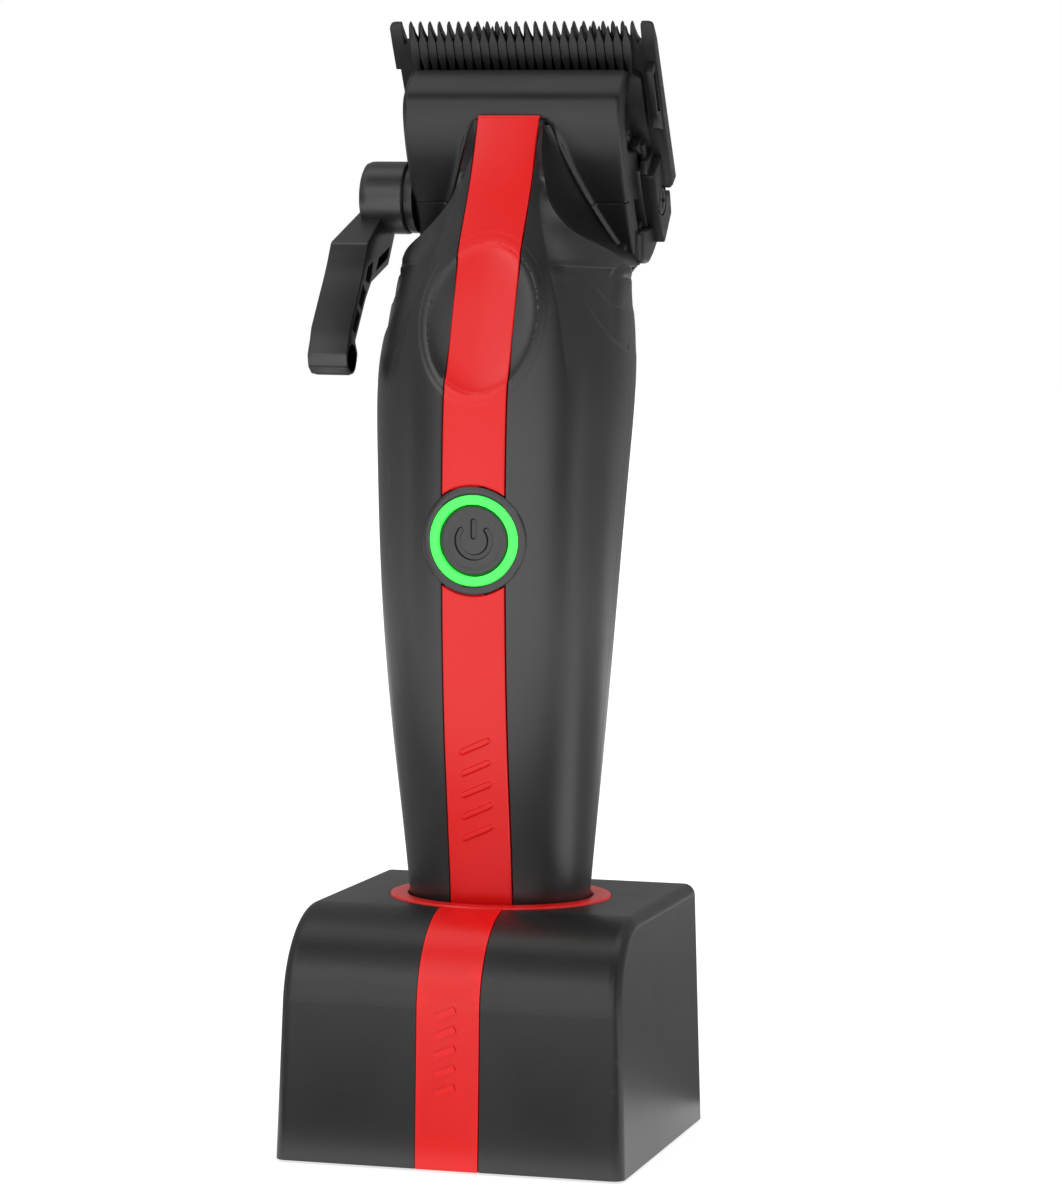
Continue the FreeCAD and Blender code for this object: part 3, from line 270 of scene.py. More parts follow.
# The line between the shells: how far its groove goes in, and each shell stands off it.
SEAM_IN, SEAM_OFF, SEAM_LINE = 0.22, 0.06, 0.12

# The neck's edge, from the shoulders up to its top: height, half width, y.
EDGE_START = 149.6
EDGE = np.array((
    (EDGE_START, 20.1, 6.8),
    (151.0, 19.4, 4.7),
    (153.0, 17.2, 1.0),
    (155.0, 13.8, -3.0),
    (157.0, 11.4, -4.5),
    (160.0, 9.0, -4.0),
    (164.0, 7.6, -3.0),
    (169.0, 6.8, -2.1),
    (NECK_TOP, 6.3, 1.0),
))
OUTLINE, EDGE_Y = (smooth_curve(EDGE[:, 0], EDGE[:, k]) for k in (1, 2))
# How far the shoulders lean back at their edges below the neck.
LEAN_START = 136.0
LEAN = smooth_curve((LEAN_START, 142.0, 145.0, 147.5, EDGE_START), (0.0, 0.15, 0.6, 1.5, 2.7))
# Half width of the flat plateau beside the stripe, which ends at a crease.
PLATEAU = smooth_curve((126.0, 138.0, 144.0, 148.0, 151.0, 154.0, 158.0, 163.0, 168.0, 174.3),
                       (15.5, 13.6, 12.2, 10.9, 10.0, 9.0, 7.7, 6.7, 6.3, 6.0))
# The oval thumb dish: its middle, half axes, depth, bevel and the floor's share of it.
DISH = dict(z=140.9, half=10.7, tall=14.2, depth=2.3, lip=0.25, floor=0.885)
# Lines of the shoulders' scallops in the front view: x, z of the start and of the end.
SCALLOPS = ((17.6, 150.4, 21.6, 146.0), (16.6, 147.8, 21.8, 141.0), (16.2, 145.0, 21.8, 134.8))

# The head leans back; its own y runs square to its flat front, and its z up along it.
HEAD_TILT = math.radians(33.5)
HEAD_SIN, HEAD_COS = math.sin(HEAD_TILT), math.cos(HEAD_TILT)
HEAD_Y, HEAD_Z = 20.0, 172.6
HEAD = Matrix.Translation((0, HEAD_Y, HEAD_Z)) @ Matrix.Rotation(HEAD_TILT, 4, "X")
HEAD_FRONT = -15.3


def front_level(z):
    """How far along the head's flat front face a height is."""
    return (z - HEAD_Z - HEAD_FRONT * HEAD_SIN) / HEAD_COS


def head_plane(z):
    """Where the head's flat front face is at a height."""
    return HEAD_Y + HEAD_FRONT * HEAD_COS - front_level(z) * HEAD_SIN


def edge_half(z):
    """Half width of the front view at a height."""
    return np.where(z < EDGE_START, HALF(z), OUTLINE(np.maximum(z, EDGE_START)))


def dish_depth(x, z):
    """The oval thumb dish: a narrow bevel all round and a shallow hollow floor."""
    reach = np.sqrt((x / DISH["half"]) ** 2 + ((z - DISH["z"]) / DISH["tall"]) ** 2)
    bevel = DISH["lip"] * np.clip((1 - reach) / (1 - DISH["floor"]), 0, 1)
    hollow = np.clip(1 - (reach / DISH["floor"]) ** 2, 0, 1) ** 0.58
    line = 0.1 * np.exp(-((reach - 1) * DISH["half"] / 0.24) ** 2)
    return bevel + (DISH["depth"] - DISH["lip"]) * hollow + line


def crease_depth(x, z):
    """How deep the scoop beside the plateau, the shoulders' fall and their scallops are."""
    across = np.abs(x)
    share = np.clip((across - PLATEAU(z)) / np.maximum(HALF(z) - PLATEAU(z), 0.5), 0, 1)
    scoop = 0.5 * ramp(z, 126, 143) * (1 - ramp(z, 148, 151)) * np.sin(np.pi * share ** 0.7)
    side = across / HALF(z)
    fall = (0.7 * ramp(z, 132, 149) * (1 - ramp(z, 149, 151))
            * ramp(side, 0.62, 0.93) * (1 - ramp(side, 0.965, 1.0)))
    total = scoop + fall
    for x0, z0, x1, z1 in SCALLOPS:
        length = math.hypot(x1 - x0, z1 - z0)
        gap = ((across - x0) * (z1 - z0) - (z - z0) * (x1 - x0)) / length
        along = ((across - x0) * (x1 - x0) + (z - z0) * (z1 - z0)) / length ** 2
        fade = ramp(along, -0.1, 0.7) * (1 - ramp(along, 1.3, 1.8)) * (1 - ramp(z, 147.6, 149.4))
        total = total + 0.5 * fade * ramp(-gap, -0.05, 0.25) * np.exp(-np.clip(-gap, 0, 9) / 2.2)
    return total


def level_section(z):
    """Middle and reach of the casing from front to back at a height."""
    return (FRONT(z) + BACK(z)) / 2, (BACK(z) - FRONT(z)) / 2


def on_casing(turn, z, sink=0.0, detail=True):
    """A point of the casing, sunk square to its surface.

    turn runs from 0 at the front to a right angle at the side seam and on to the back.
    """
    rounder_back = 0.55 * ramp(z, 138, 149) * (np.cos(turn) < 0)
    power = POWER(z) - rounder_back
    across = np.abs(np.sin(turn)) ** (2 / power) * np.sign(np.sin(turn))
    ahead = np.abs(np.cos(turn)) ** (2 / power) * np.sign(np.cos(turn))
    middle, reach = level_section(z)
    x, y = HALF(z) * across, middle - reach * ahead
    if detail:
        well = WELL["depth"] * (1 - ramp(np.hypot(x, z - BUTTON_Z), WELL["floor"], WELL["rim"]))
        relief = dish_depth(x, z) + crease_depth(x, z) + well
        sink = sink + np.where(np.cos(turn) > 0, relief, 0)
    normal_x, normal_y = np.sin(turn), -np.cos(turn)
    return x - sink * normal_x, y - sink * normal_y


def front_y(x, z, sink=0.0):
    """The casing's front surface over a point of the front view."""
    share = np.clip(np.abs(x) / HALF(z), 0, 1) ** POWER(z)
    middle, reach = level_section(z)
    return middle - reach * (1 - share) ** (1 / POWER(z)) + dish_depth(x, z) + sink


def casing_rows(low, high, fine):
    """Heights of the casing's rows; fine holds (start, end, step) where detail needs it."""
    coarse = 1.2
    heights = [low]
    while heights[-1] < high - 1e-6:
        z = heights[-1]
        step = min([coarse] + [size for start, end, size in fine if start <= z < end])
        heights.append(min(high, z + step))
    return np.array(heights)


def make_front_shell():
    """The front shell: shoulders, flanks and neck round the channel of the red stripe."""
    heights = casing_rows(CASING_LOW, NECK_TOP, ((97, 111, 0.2), (122, 156, 0.26),
                                                 (149, 153, 0.12), (153, 176, 0.4)))
    deck = SHOULDER - 1.2
    lip, side_wall, front_wall = 1.3, 1.6, 2.4
    rows = []
    for z in heights:
        power, half, edge = POWER(z), HALF(z), float(edge_half(z))
        first = math.asin((CHANNEL / half) ** (power / 2))
        last = math.asin(min(1.0, edge / half) ** (power / 2))
        turns = np.linspace(first, last, 110)
        x, y = on_casing(turns, np.full_like(turns, z))
        flat = float(PLATEAU(z))
        share = np.clip((x - flat) / max(edge - flat, 0.2), 0, 1)
        on_neck = z > EDGE_START
        lean = float(EDGE_Y(z)) - y[-1] if on_neck else float(LEAN(max(z, LEAN_START)))
        y = y + lean * share ** 1.25
        if not on_neck:
            y = np.minimum(y, level_section(z)[0])
        closing = float(ramp(z, deck, SHOULDER))
        rear = max(head_plane(max(z, SHOULDER)) - 0.05, y[-1] + 0.5)
        seam = y[-1] + SEAM_OFF
        wall = [(x[-1] - SEAM_IN * (1 - closing), seam),
                (x[-1] - lip * (1 - closing), seam + (rear - seam) * closing)]
        bed = CHANNEL_BED + WELL["depth"] * (abs(z - BUTTON_Z) < WELL["half"])
        floor = [(a, front_y(a, z, bed)) for a in (0.0, CHANNEL * 0.5, CHANNEL)]
        chamfer = 0.12
        brink = [(CHANNEL, y[0] + chamfer), (CHANNEL + chamfer, y[0])]
        side = floor + brink + list(zip(x[1:], y[1:])) + wall
        span = np.linspace(x[-1] - side_wall, side_wall - x[-1], 41)
        inner = front_y(span, z, front_wall + float(crease_depth(span, z).max()))
        inner = np.minimum(inner, seam) * (1 - closing) + rear * closing
        loop = ([(-a, b) for a, b in reversed(side[1:])] + side
                + [(a, b) for a, b in zip(span, inner)])
        rows.append([(a, b, z) for a, b in loop])
    rim = np.array(rows[-1])
    for shrink, lift in ((0.3, 0.1), (0.6, 0.15)):
        ring = rim.copy()
        ring[:, 0] *= 1 - shrink / 20
        ring[:, 1] += shrink * 0.1
        ring[:, 2] += lift
        rows.append(ring)
    finished("front_shell_skin", loop_mesh("front_shell_skin", rows, caps=True), "clipper",
             "front_shell", sharp=24)


def make_neck_fillets():
    """The dark walls that sweep from the neck's edges back and out to the head's crests."""
    levels = np.arange(153.4, 173.9, 0.41)
    along = np.linspace(0, 1, 16)
    sides = []
    for side in (-1, 1):
        rows = []
        for z in levels:
            x0, y0 = float(OUTLINE(z)) - 0.12, float(EDGE_Y(z)) + 0.3
            x1, y1 = max(crest(z), x0 + 0.1), head_plane(z) + 0.2
            curve = [(x0 + (x1 - x0) * t ** 2.0, y0 + (y1 - y0) * t) for t in along]
            back = [(x1 - 0.1, y1 + 1.0), (x0 - 1.2, y1 + 1.0), (x0 - 1.2, y0 + 0.8)]
            rows.append([(side * a, b, z) for a, b in curve + back])
        sides.append(loop_mesh("fillet", rows, caps=True))
    finished("neck_fillets", joined("neck_fillets", *sides), "clipper", slot="well_plastic",
             sharp=40)


def make_back_shell():
    """The back shell with its two sunk screws, closed over below the head."""
    heights = casing_rows(CASING_LOW, SHOULDER, ((146, 152, 0.3),))
    turns = np.linspace(math.pi / 2, 3 * math.pi / 2, 150)
    lid, wall, rim_round = SHOULDER - 1.4, 1.5, 0.4
    rows = []
    for z in heights:
        middle, half = float(level_section(z)[0]), float(HALF(z))
        z_row = np.full_like(turns, z)
        dent = float(crease_depth(np.array([half * 0.9999]), z)[0])
        from_seam = math.pi / 2 - np.abs(turns - math.pi)
        x, y = on_casing(turns, z_row, dent * (1 - ramp(from_seam, 0.0, 0.45)), detail=False)
        narrow = 1 - rim_round * float(ramp(z, lid, SHOULDER)) / half
        x = x * narrow
        y = middle + (y - middle) * narrow
        closing = float(ramp(z, lid, SHOULDER - 0.2))
        thin = 1 - wall / half * (1 - closing) - closing * 0.9
        seam = middle + SEAM_OFF
        loop = ([(x[0] - SEAM_IN, seam)] + list(zip(x, y + SEAM_LINE))
                + [(x[-1] + SEAM_IN, seam)])
        inner = [(a * thin, seam + max(0.0, (b - middle)) * thin)
                 for a, b in zip(x[::-6], y[::-6])]
        rows.append([(a, b, z) for a, b in loop + inner])
    skin = loop_mesh("back_shell_skin", rows, caps=True)
    screw_x, screw_z = BACK_SCREW
    places = [(side * screw_x, 0, screw_z) for side in (-1, 1)]
    wells = [turned("well", [(2.25, 18.6), (2.25, 24.0)], place, "y") for place in places]
    finished("back_shell_skin", carved("back_shell_skin", skin, *wells), "clipper",
             "back_shell", sharp=30)
    screws = []
    for x, y, z in places:
        head = cross_screw("back_screw", 2.05, (0, 0, 0), 1.2)
        head.transform(Matrix.Translation((x, 19.9, z)) @ Matrix.Rotation(math.pi / 2, 4, "Z"))
        screws += [head, turned("shank", [(1.0, 13.4), (1.0, 18.9)], (x, y, z), "y", 32)]
    finished("casing_screw_heads", joined("casing_screw_heads", *screws), "clipper",
             "casing_screws", sharp=35)


# ------------------------------------------------------------------ red stripe

# The row of plain slanted bars on the lower stripe.
RIBS = dict(start=54.6, count=5, pitch=3.7, half=2.1, thick=0.42, slant=0.45, rise=0.34)


def rib_rise(x, z):
    """Height of the slanted bars at a point of the stripe."""
    rise = np.zeros(np.broadcast(x, z).shape)
    for index in range(RIBS["count"]):
        level = z - RIBS["start"] - index * RIBS["pitch"] - RIBS["slant"] * x
        gap = np.hypot(np.maximum(np.abs(x) - RIBS["half"], 0), level)
        rise = np.maximum(rise, RIBS["rise"] * ramp(-gap, -RIBS["thick"] - 0.14, -RIBS["thick"]))
    return rise


def stripe_solid(name, node, low, high, rows, ribs=False):
    """A stripe inlay: its face, rounded edges and back, as one closed solid.

    low and high give the ends' heights at each x.
    """
    half, edge, proud, thick = 5.33, 0.16, 0.32, 1.3
    inner = np.linspace(-half + edge, half - edge, 61)
    x = np.concatenate([[-half], inner, [half]])
    shares = np.linspace(0, 1, rows)
    ends = np.minimum(shares, 1 - shares)[:, None]
    start, stop = low(x), high(x)
    z = start[None, :] + shares[:, None] * (stop - start)[None, :]
    xx = np.broadcast_to(x, z.shape)
    drop = np.where(np.abs(xx) > half - edge * 0.5, edge, 0.0)
    drop = drop + np.where(ends == 0, edge, 0)
    surface = front_y(xx, z, -proud)
    y = surface + drop
    if ribs:
        y = y - rib_rise(xx, z)
    front = np.stack([xx, y, z], -1)
    back = np.stack([xx, surface + thick, z], -1)
    mesh = loop_mesh(name, np.concatenate([front, back[:, ::-1]], 1))
    fill = bmesh.new()
    fill.from_mesh(mesh)
    bmesh.ops.holes_fill(fill, edges=[e for e in fill.edges if e.is_boundary], sides=0)
    bmesh.ops.recalc_face_normals(fill, faces=fill.faces)
    fill.to_mesh(mesh)
    fill.free()
    finished(name, mesh, "clipper", node, sharp=35)


def make_stripes():
    """The two inlays, each cut round where it meets the button's bezel."""
    gap = 0.2
    stripe_solid("stripe_upper_face", "stripe_upper",
                 lambda x: BUTTON_Z + np.sqrt(BEZEL ** 2 - x ** 2) + gap,
                 lambda x: np.full_like(x, NECK_TOP + 0.8), 260)
    stripe_solid("stripe_lower_face", "stripe_lower",
                 lambda x: np.full_like(x, CASING_LOW + 0.3),
                 lambda x: BUTTON_Z - np.sqrt(BEZEL ** 2 - x ** 2) - gap, 560, ribs=True)


# ------------------------------------------------------------------ button


def button_ring(name, profile, steps, node):
    """A ring about the button's axis; profile is (radius, sink) pairs.

    The sink is measured from the casing's front, so that the ring follows that surface.
    """
    angles = np.linspace(0, 2 * math.pi, steps, endpoint=False)
    rows = []
    for radius, sink in profile:
        x, z = radius * np.sin(angles), BUTTON_Z + radius * np.cos(angles)
        rows.append(np.stack([x, front_y(x, z, sink), z], -1))
    finished(name, loop_mesh(name, rows), "clipper", node, sharp=40)


def symbol_depth(x, z):
    """The engraved on-off mark: an open ring with a short bar."""
    mark, opening = 2.8, math.radians(52)
    ring = np.abs(np.hypot(x, z) - mark)
    tip_gap = np.hypot(np.abs(x) - mark * math.sin(opening), z - mark * math.cos(opening))
    ring = np.where(np.abs(np.arctan2(x, z)) < opening, tip_gap, ring)
    bar = np.hypot(x, np.maximum(np.maximum(0.7 - z, z - 3.2), 0))
    return 0.42 * ramp(-np.minimum(ring, bar), -0.52, -0.36)


def make_button():
    """The bezel, the lit ring in it, and the button's dished cap with its mark."""
    button_ring("bezel_ring", [(7.62, 1.2), (7.62, 0.05), (7.74, -0.12), (8.0, -0.2),
                               (8.7, -0.22), (8.98, -0.14), (BEZEL, 0.1), (BEZEL, 1.2)],
                240, "button_bezel")
    button_ring("light_ring", [(6.08, 1.2), (6.08, -0.02), (6.2, -0.1), (7.45, -0.1),
                               (7.58, 0.0), (7.58, 1.2)], 200, "led_ring")
    radii = np.concatenate([np.linspace(0.001, 5.2, 90), np.linspace(5.25, 5.9, 12)])
    angles = np.linspace(0, 2 * math.pi, 320, endpoint=False)
    r, a = np.meshgrid(radii, angles, indexing="ij")
    x, z = r * np.sin(a), r * np.cos(a)
    rim = -0.1 * ramp(r, 4.4, 5.1) + 0.3 * np.clip((r - 5.45) / 0.45, 0, 1) ** 2
    y = front_y(x, BUTTON_Z + z, 0.42) + rim + symbol_depth(x, z)
    face = np.stack([x, y, BUTTON_Z + z], -1)
    skirt = face[-1:].copy()
    skirt[..., 1] += 2.0
    finished("button_cap", loop_mesh("button_cap", np.concatenate([face, skirt])), "button",
             "power_button", sharp=50)


# ------------------------------------------------------------------ plates and solids


def soften(solid, angle, width, segments=2):
    """Bevel the edges of a solid where its faces meet at more than an angle."""
    sharp = [edge for edge in solid.edges if edge.calc_face_angle(0) > angle]
    bmesh.ops.bevel(solid, geom=sharp, offset=width, segments=segments, profile=0.5,
                    affect="EDGES", clamp_overlap=True)


def prism(name, outline, low, high, along="x", bevel=0.2, on_head=False, segments=2):
    """An outline run from low to high, with its edges softened.

    The outline is in (y, z) where it runs along x, and in (x, z) where it runs
    along y. On the head it is drawn in the head's own directions.
    """
    solid = bmesh.new()
    place = {"x": lambda a, b, t: (t, a, b), "y": lambda a, b, t: (a, t, b)}[along]
    start = [solid.verts.new(place(a, b, low)) for a, b in outline]
    end = [solid.verts.new(place(a, b, high)) for a, b in outline]
    count = len(outline)
    solid.faces.new(start)
    solid.faces.new(end)
    for i in range(count):
        solid.faces.new((start[i], start[(i + 1) % count], end[(i + 1) % count], end[i]))
    bmesh.ops.recalc_face_normals(solid, faces=solid.faces)
    if bevel:
        soften(solid, 0.35, bevel, segments)
    mesh = bpy.data.meshes.new(name)
    solid.to_mesh(mesh)
    solid.free()
    if on_head:
        mesh.transform(HEAD)
    return mesh


def joined(name, *meshes):
    """Several closed solids as one mesh."""
    whole = bmesh.new()
    for mesh in meshes:
        whole.from_mesh(mesh)
        bpy.data.meshes.remove(mesh)
    result = bpy.data.meshes.new(name)
    whole.to_mesh(result)
    whole.free()
    return result


def carved(name, mesh, *cutters):
    """A solid less each cutter, worked out with exact booleans."""
    base = bpy.data.objects.new(f"{name}_base", mesh)
    bpy.context.scene.collection.objects.link(base)
    tools = []
    for index, cutter in enumerate(cutters):
        tool = bpy.data.objects.new(f"{name}_tool_{index}", cutter)
        bpy.context.scene.collection.objects.link(tool)
        less = base.modifiers.new("less", "BOOLEAN")
        less.object = tool
        less.solver = "EXACT"
        tools.append(tool)
    shape = base.evaluated_get(bpy.context.evaluated_depsgraph_get())
    result = bpy.data.meshes.new_from_object(shape)
    result.name = name
    for obj in [base, *tools]:
        bpy.data.objects.remove(obj)
    return result


def turned(name, profile, centre, axis="x", steps=72):
    """A turned solid with flat ends; profile is (radius, distance along the axis) pairs."""
    angles = np.linspace(0, 2 * math.pi, steps, endpoint=False)
    rows = []
    for radius, along in profile:
        a, b, c = radius * np.cos(angles), radius * np.sin(angles), np.full(steps, along)
        parts = {"x": (c, a, b), "y": (a, c, b)}[axis]
        rows.append(np.stack(parts, -1) + np.array(centre))
    return loop_mesh(name, rows, caps=True)


def cross_screw(name, radius, place, depth=0.9):
    """A low round screw head that faces +X, with a cross recess."""
    head = turned(name, [(radius * 0.96, -depth), (radius, -depth * 0.5),
                         (radius * 0.97, -0.16), (radius * 0.86, -0.03), (radius * 0.6, 0.0)],
                  place)
    x, y, z = place
    arm, thin = radius * 0.58, radius * 0.13
    cuts = [prism(f"{name}_cut", [(y - a, z - b), (y + a, z - b), (y + a, z + b), (y - a, z + b)],
                  x - depth * 0.6, x + 0.4, bevel=0)
            for a, b in ((arm, thin), (thin, arm))]
    return carved(name, head, *cuts)


def local(y, z):
    """The head's own (y, z) of a point of the object."""
    point = HEAD.inverted() @ Vector((0, y, z))
    return point.y, point.z


# ------------------------------------------------------------------ head

CREST_FOOT, CREST_TOP = 150.0, 175.0
CREST_HALF = 18.2         # half width between the crests at their foot
# The seam that leaves the head's edge and turns down round the crest's foot.
SEAM = ((19.4, 160.6), (13.5, 160.6), (12.4, 160.2), (11.8, 159.4), (11.8, 158.2),
        (12.4, 156.6), (13.7, 154.6), (15.4, 153.1), (17.0, 152.1))
HEAD_HALF = 19.2


def crest(z):
    """Half width between the crests, which close in more slowly the higher they are."""
    up = np.clip(z, CREST_FOOT, CREST_TOP) - CREST_FOOT
    return CREST_HALF - 0.635 * up + 0.0072 * up ** 2


def line_gap(x, z, line):
    """Distance from points of the front view to a run of straight lines."""
    gap = np.full(np.broadcast(x, z).shape, 99.0)
    for (x0, z0), (x1, z1) in zip(line, line[1:]):
        length = (x1 - x0) ** 2 + (z1 - z0) ** 2
        share = np.clip(((x - x0) * (x1 - x0) + (z - z0) * (z1 - z0)) / length, 0, 1)
        gap = np.minimum(gap, np.hypot(x - x0 - share * (x1 - x0), z - z0 - share * (z1 - z0)))
    return gap


def head_relief(x, z):
    """Depth of the head's front: the crests beside the neck and the seam."""
    across = np.abs(x)
    fade = 1 - ramp(z, 169.5, 173.0)
    ridge = -0.55 * np.exp(-((across - crest(z) - 0.2) / 0.5) ** 2)
    seam = 0.3 * ramp(-line_gap(across, z, SEAM), -0.16, -0.06)
    return fade * ridge + seam


def make_head_housing():
    """The cover: a flat face that bends over at the top, and rounds off at both sides."""
    foot = 148.9
    straight = [(HEAD_FRONT, front_level(z)) for z in np.arange(foot, 163.3, 0.16)]
    bend = np.array(((HEAD_FRONT, -0.9), (-15.28, 2.0), (-15.1, 5.0), (-14.5, 8.6), (-13.3, 12.2),
                     (-11.6, 14.35), (-9.0, 15.3), (-6.4, 15.75), (-5.0, 15.86)))
    steps = np.concatenate([[0], np.cumsum(np.hypot(*np.diff(bend, axis=0).T))])
    along = np.linspace(0, steps[-1], 72)
    curve = np.stack([smooth_curve(steps, bend[:, 0])(along),
                      smooth_curve(steps, bend[:, 1])(along)], -1)
    profile = np.concatenate([np.array(straight), curve])
    tangent = np.gradient(profile, axis=0)
    tangent /= np.hypot(*tangent.T)[:, None]
    inward = np.stack([tangent[:, 1], -tangent[:, 0]], -1)
    rounding = 1.0
    swing = np.linspace(0, math.pi / 2, 7)
    flat = np.arange(0, HEAD_HALF - rounding, 0.19)
    x = np.concatenate([flat, HEAD_HALF - rounding + rounding * np.sin(swing)])
    drop = np.concatenate([0 * flat, rounding * (1 - np.cos(swing))])
    x = np.concatenate([-x[:0:-1], x])
    drop = np.concatenate([drop[:0:-1], drop])
    rows = []
    for (y, z), (ny, nz) in zip(profile, inward):
        level = HEAD_Z + y * HEAD_SIN + z * HEAD_COS
        corner = 1 - 0.05 * (1 - ramp(level, foot, SHOULDER)) ** 2
        depth = drop + head_relief(x, np.full_like(x, level))
        front = np.stack([x * corner, y + depth * ny, z + depth * nz], -1)
        edge = HEAD_HALF * corner
        back = [(edge, 3.2), (edge - 1.6, 3.2), (edge - 2.0, 2.6), (2.0 - edge, 2.6),
                (1.6 - edge, 3.2), (-edge, 3.2)]
        back = np.array([(a, y + d * ny, z + d * nz) for a, d in back])
        rows.append(np.concatenate([front, back]))
    mesh = loop_mesh("head_housing", rows, caps=True)
    mesh.transform(HEAD)
    finished("head_housing", mesh, "clipper", "head_cover", sharp=40)


def make_head_core():
    """What the cover goes over, with the columns and facets that show at its open sides."""
    core = [local(10.2, 150.55), (-13.4, -12.0), (-13.4, 3.6), (-12.6, 8.6), (-11.2, 12.0),
            (-8.4, 12.6), (-5.2, 12.8), (-2.7, 10.6), (-2.7, -1.6), (-0.9, -1.6),
            (-0.9, -12.1), (2.3, -12.1), local(25.4, 150.55)]
    lip = (local(15.5, 156.0), local(15.5, 150.5), local(20.5, 150.5), local(23.5, 152.0),
           local(26.6, 154.2), local(26.2, 157.5))
    pieces = [
        prism("core", core, -17.9, 17.9, bevel=0.5, on_head=True),
        prism("column", [(-12.6, -5.4), (-11.6, 4.1), (-4.6, -0.2), (-6.9, -9.0)], 17.2, 19.0,
              bevel=0.8, on_head=True, segments=5),
        prism("facet", [(-6.8, 1.7), (-1.4, 0.9), (-2.2, -2.7), (-5.1, -0.8)], 17.2, 19.5,
              bevel=0.2, on_head=True),
        prism("lip", lip, 17.2, 20.4, bevel=0.8, on_head=True, segments=5),
        prism("backing", [(-7.0, -3.0), (-1.0, -3.0), (-1.0, -17.0), (-5.0, -18.2),
                          (-8.0, -17.0)], 17.0, 19.5, bevel=0.2, on_head=True),
        prism("rail", [(-12.2, 5.4), (-11.0, 11.4), (-9.9, 12.2), (-10.0, 5.2)], 17.4, 18.7,
              bevel=0.3, on_head=True),
        prism("left_column", [(-13.0, -13.5), (-13.0, 4.2), (-9.4, 4.2), (-8.8, 0.4),
                              (-10.4, -13.5)], -19.0, -17.2, bevel=0.7, on_head=True, segments=4),
    ]
    finished("head_core", joined("head_core", *pieces), "clipper", "head_collar", sharp=35)


def make_side_fittings():
    """The bracket, its screw, the small side screws and the blade's side guide."""
    face_x, screw_y, screw_z = 22.0, 22.6, 161.5
    plate = prism("bracket", [(-7.1, -3.9), (-0.7, -3.7), (-0.7, -12.0), (2.0, -12.2),
                              (0.9, -16.4), (-5.9, -18.2)], 19.4, face_x, bevel=0.35,
                  on_head=True)
    sink = turned("sink", [(2.7, -0.3), (2.7, 1.0)], (face_x, screw_y, screw_z))
    ledge = prism("ledge", [(-7.0, -4.4), (-5.2, -1.9), (-1.4, -2.3), (-1.2, -4.4)], 19.3, 20.7,
                  bevel=0.2, on_head=True)
    hook = prism("hook", [(-4.6, -2.4), (-4.2, 0.4), (-3.0, 0.9), (-2.8, -2.4)], 19.2, 20.1,
                 bevel=0.15, on_head=True)
    body = carved("side_bracket_plate", plate, sink)
    finished("side_bracket_plate", joined("side_bracket_plate", body, ledge, hook), "clipper",
             "side_bracket", sharp=35)
    screw = cross_screw("bracket_screw_head", 2.45, (face_x + 0.05, screw_y, screw_z))
    finished("bracket_screw_head", screw, "clipper", "bracket_screw", sharp=35)
    small = [cross_screw(f"small_{index}", 1.15, (x, y, z), 0.8)
             for index, (x, y, z) in enumerate(((18.9, 10.0, 172.2), (19.0, 21.4, 161.2),
                                                (19.0, 20.2, 156.7)))]
    finished("side_screw_heads", joined("side_screw_heads", *small), "clipper", "head_screws",
             sharp=35)
    window = prism("window", [(-2.9, 6.4), (-2.8, 13.5), (-1.2, 13.8), (-1.2, 5.6)], 20, 24,
                   bevel=0, on_head=True)
    guide = prism("guide", [(-3.6, 5.6), (-3.4, 14.4), (-0.5, 14.8), (-0.5, 4.0)], 21.85, 22.95,
                  bevel=0.12, on_head=True)
    bar = prism("bar", [(-2.3, 5.6), (-2.3, 13.6), (-1.9, 13.6), (-1.9, 5.6)], 21.9, 22.5,
                bevel=0.1, on_head=True)
    arm = prism("arm", [(-5.2, 4.6), (-3.4, 6.2), (-0.5, 4.8), (-0.5, 1.2), (-2.2, 2.6)],
                21.85, 23.0, bevel=0.12, on_head=True)
    finished("blade_side_guide", joined("blade_side_guide", carved("guide", guide, window), bar,
                                        arm), "blade_carriage", slot="black_metal", sharp=35)


# ------------------------------------------------------------------ blades


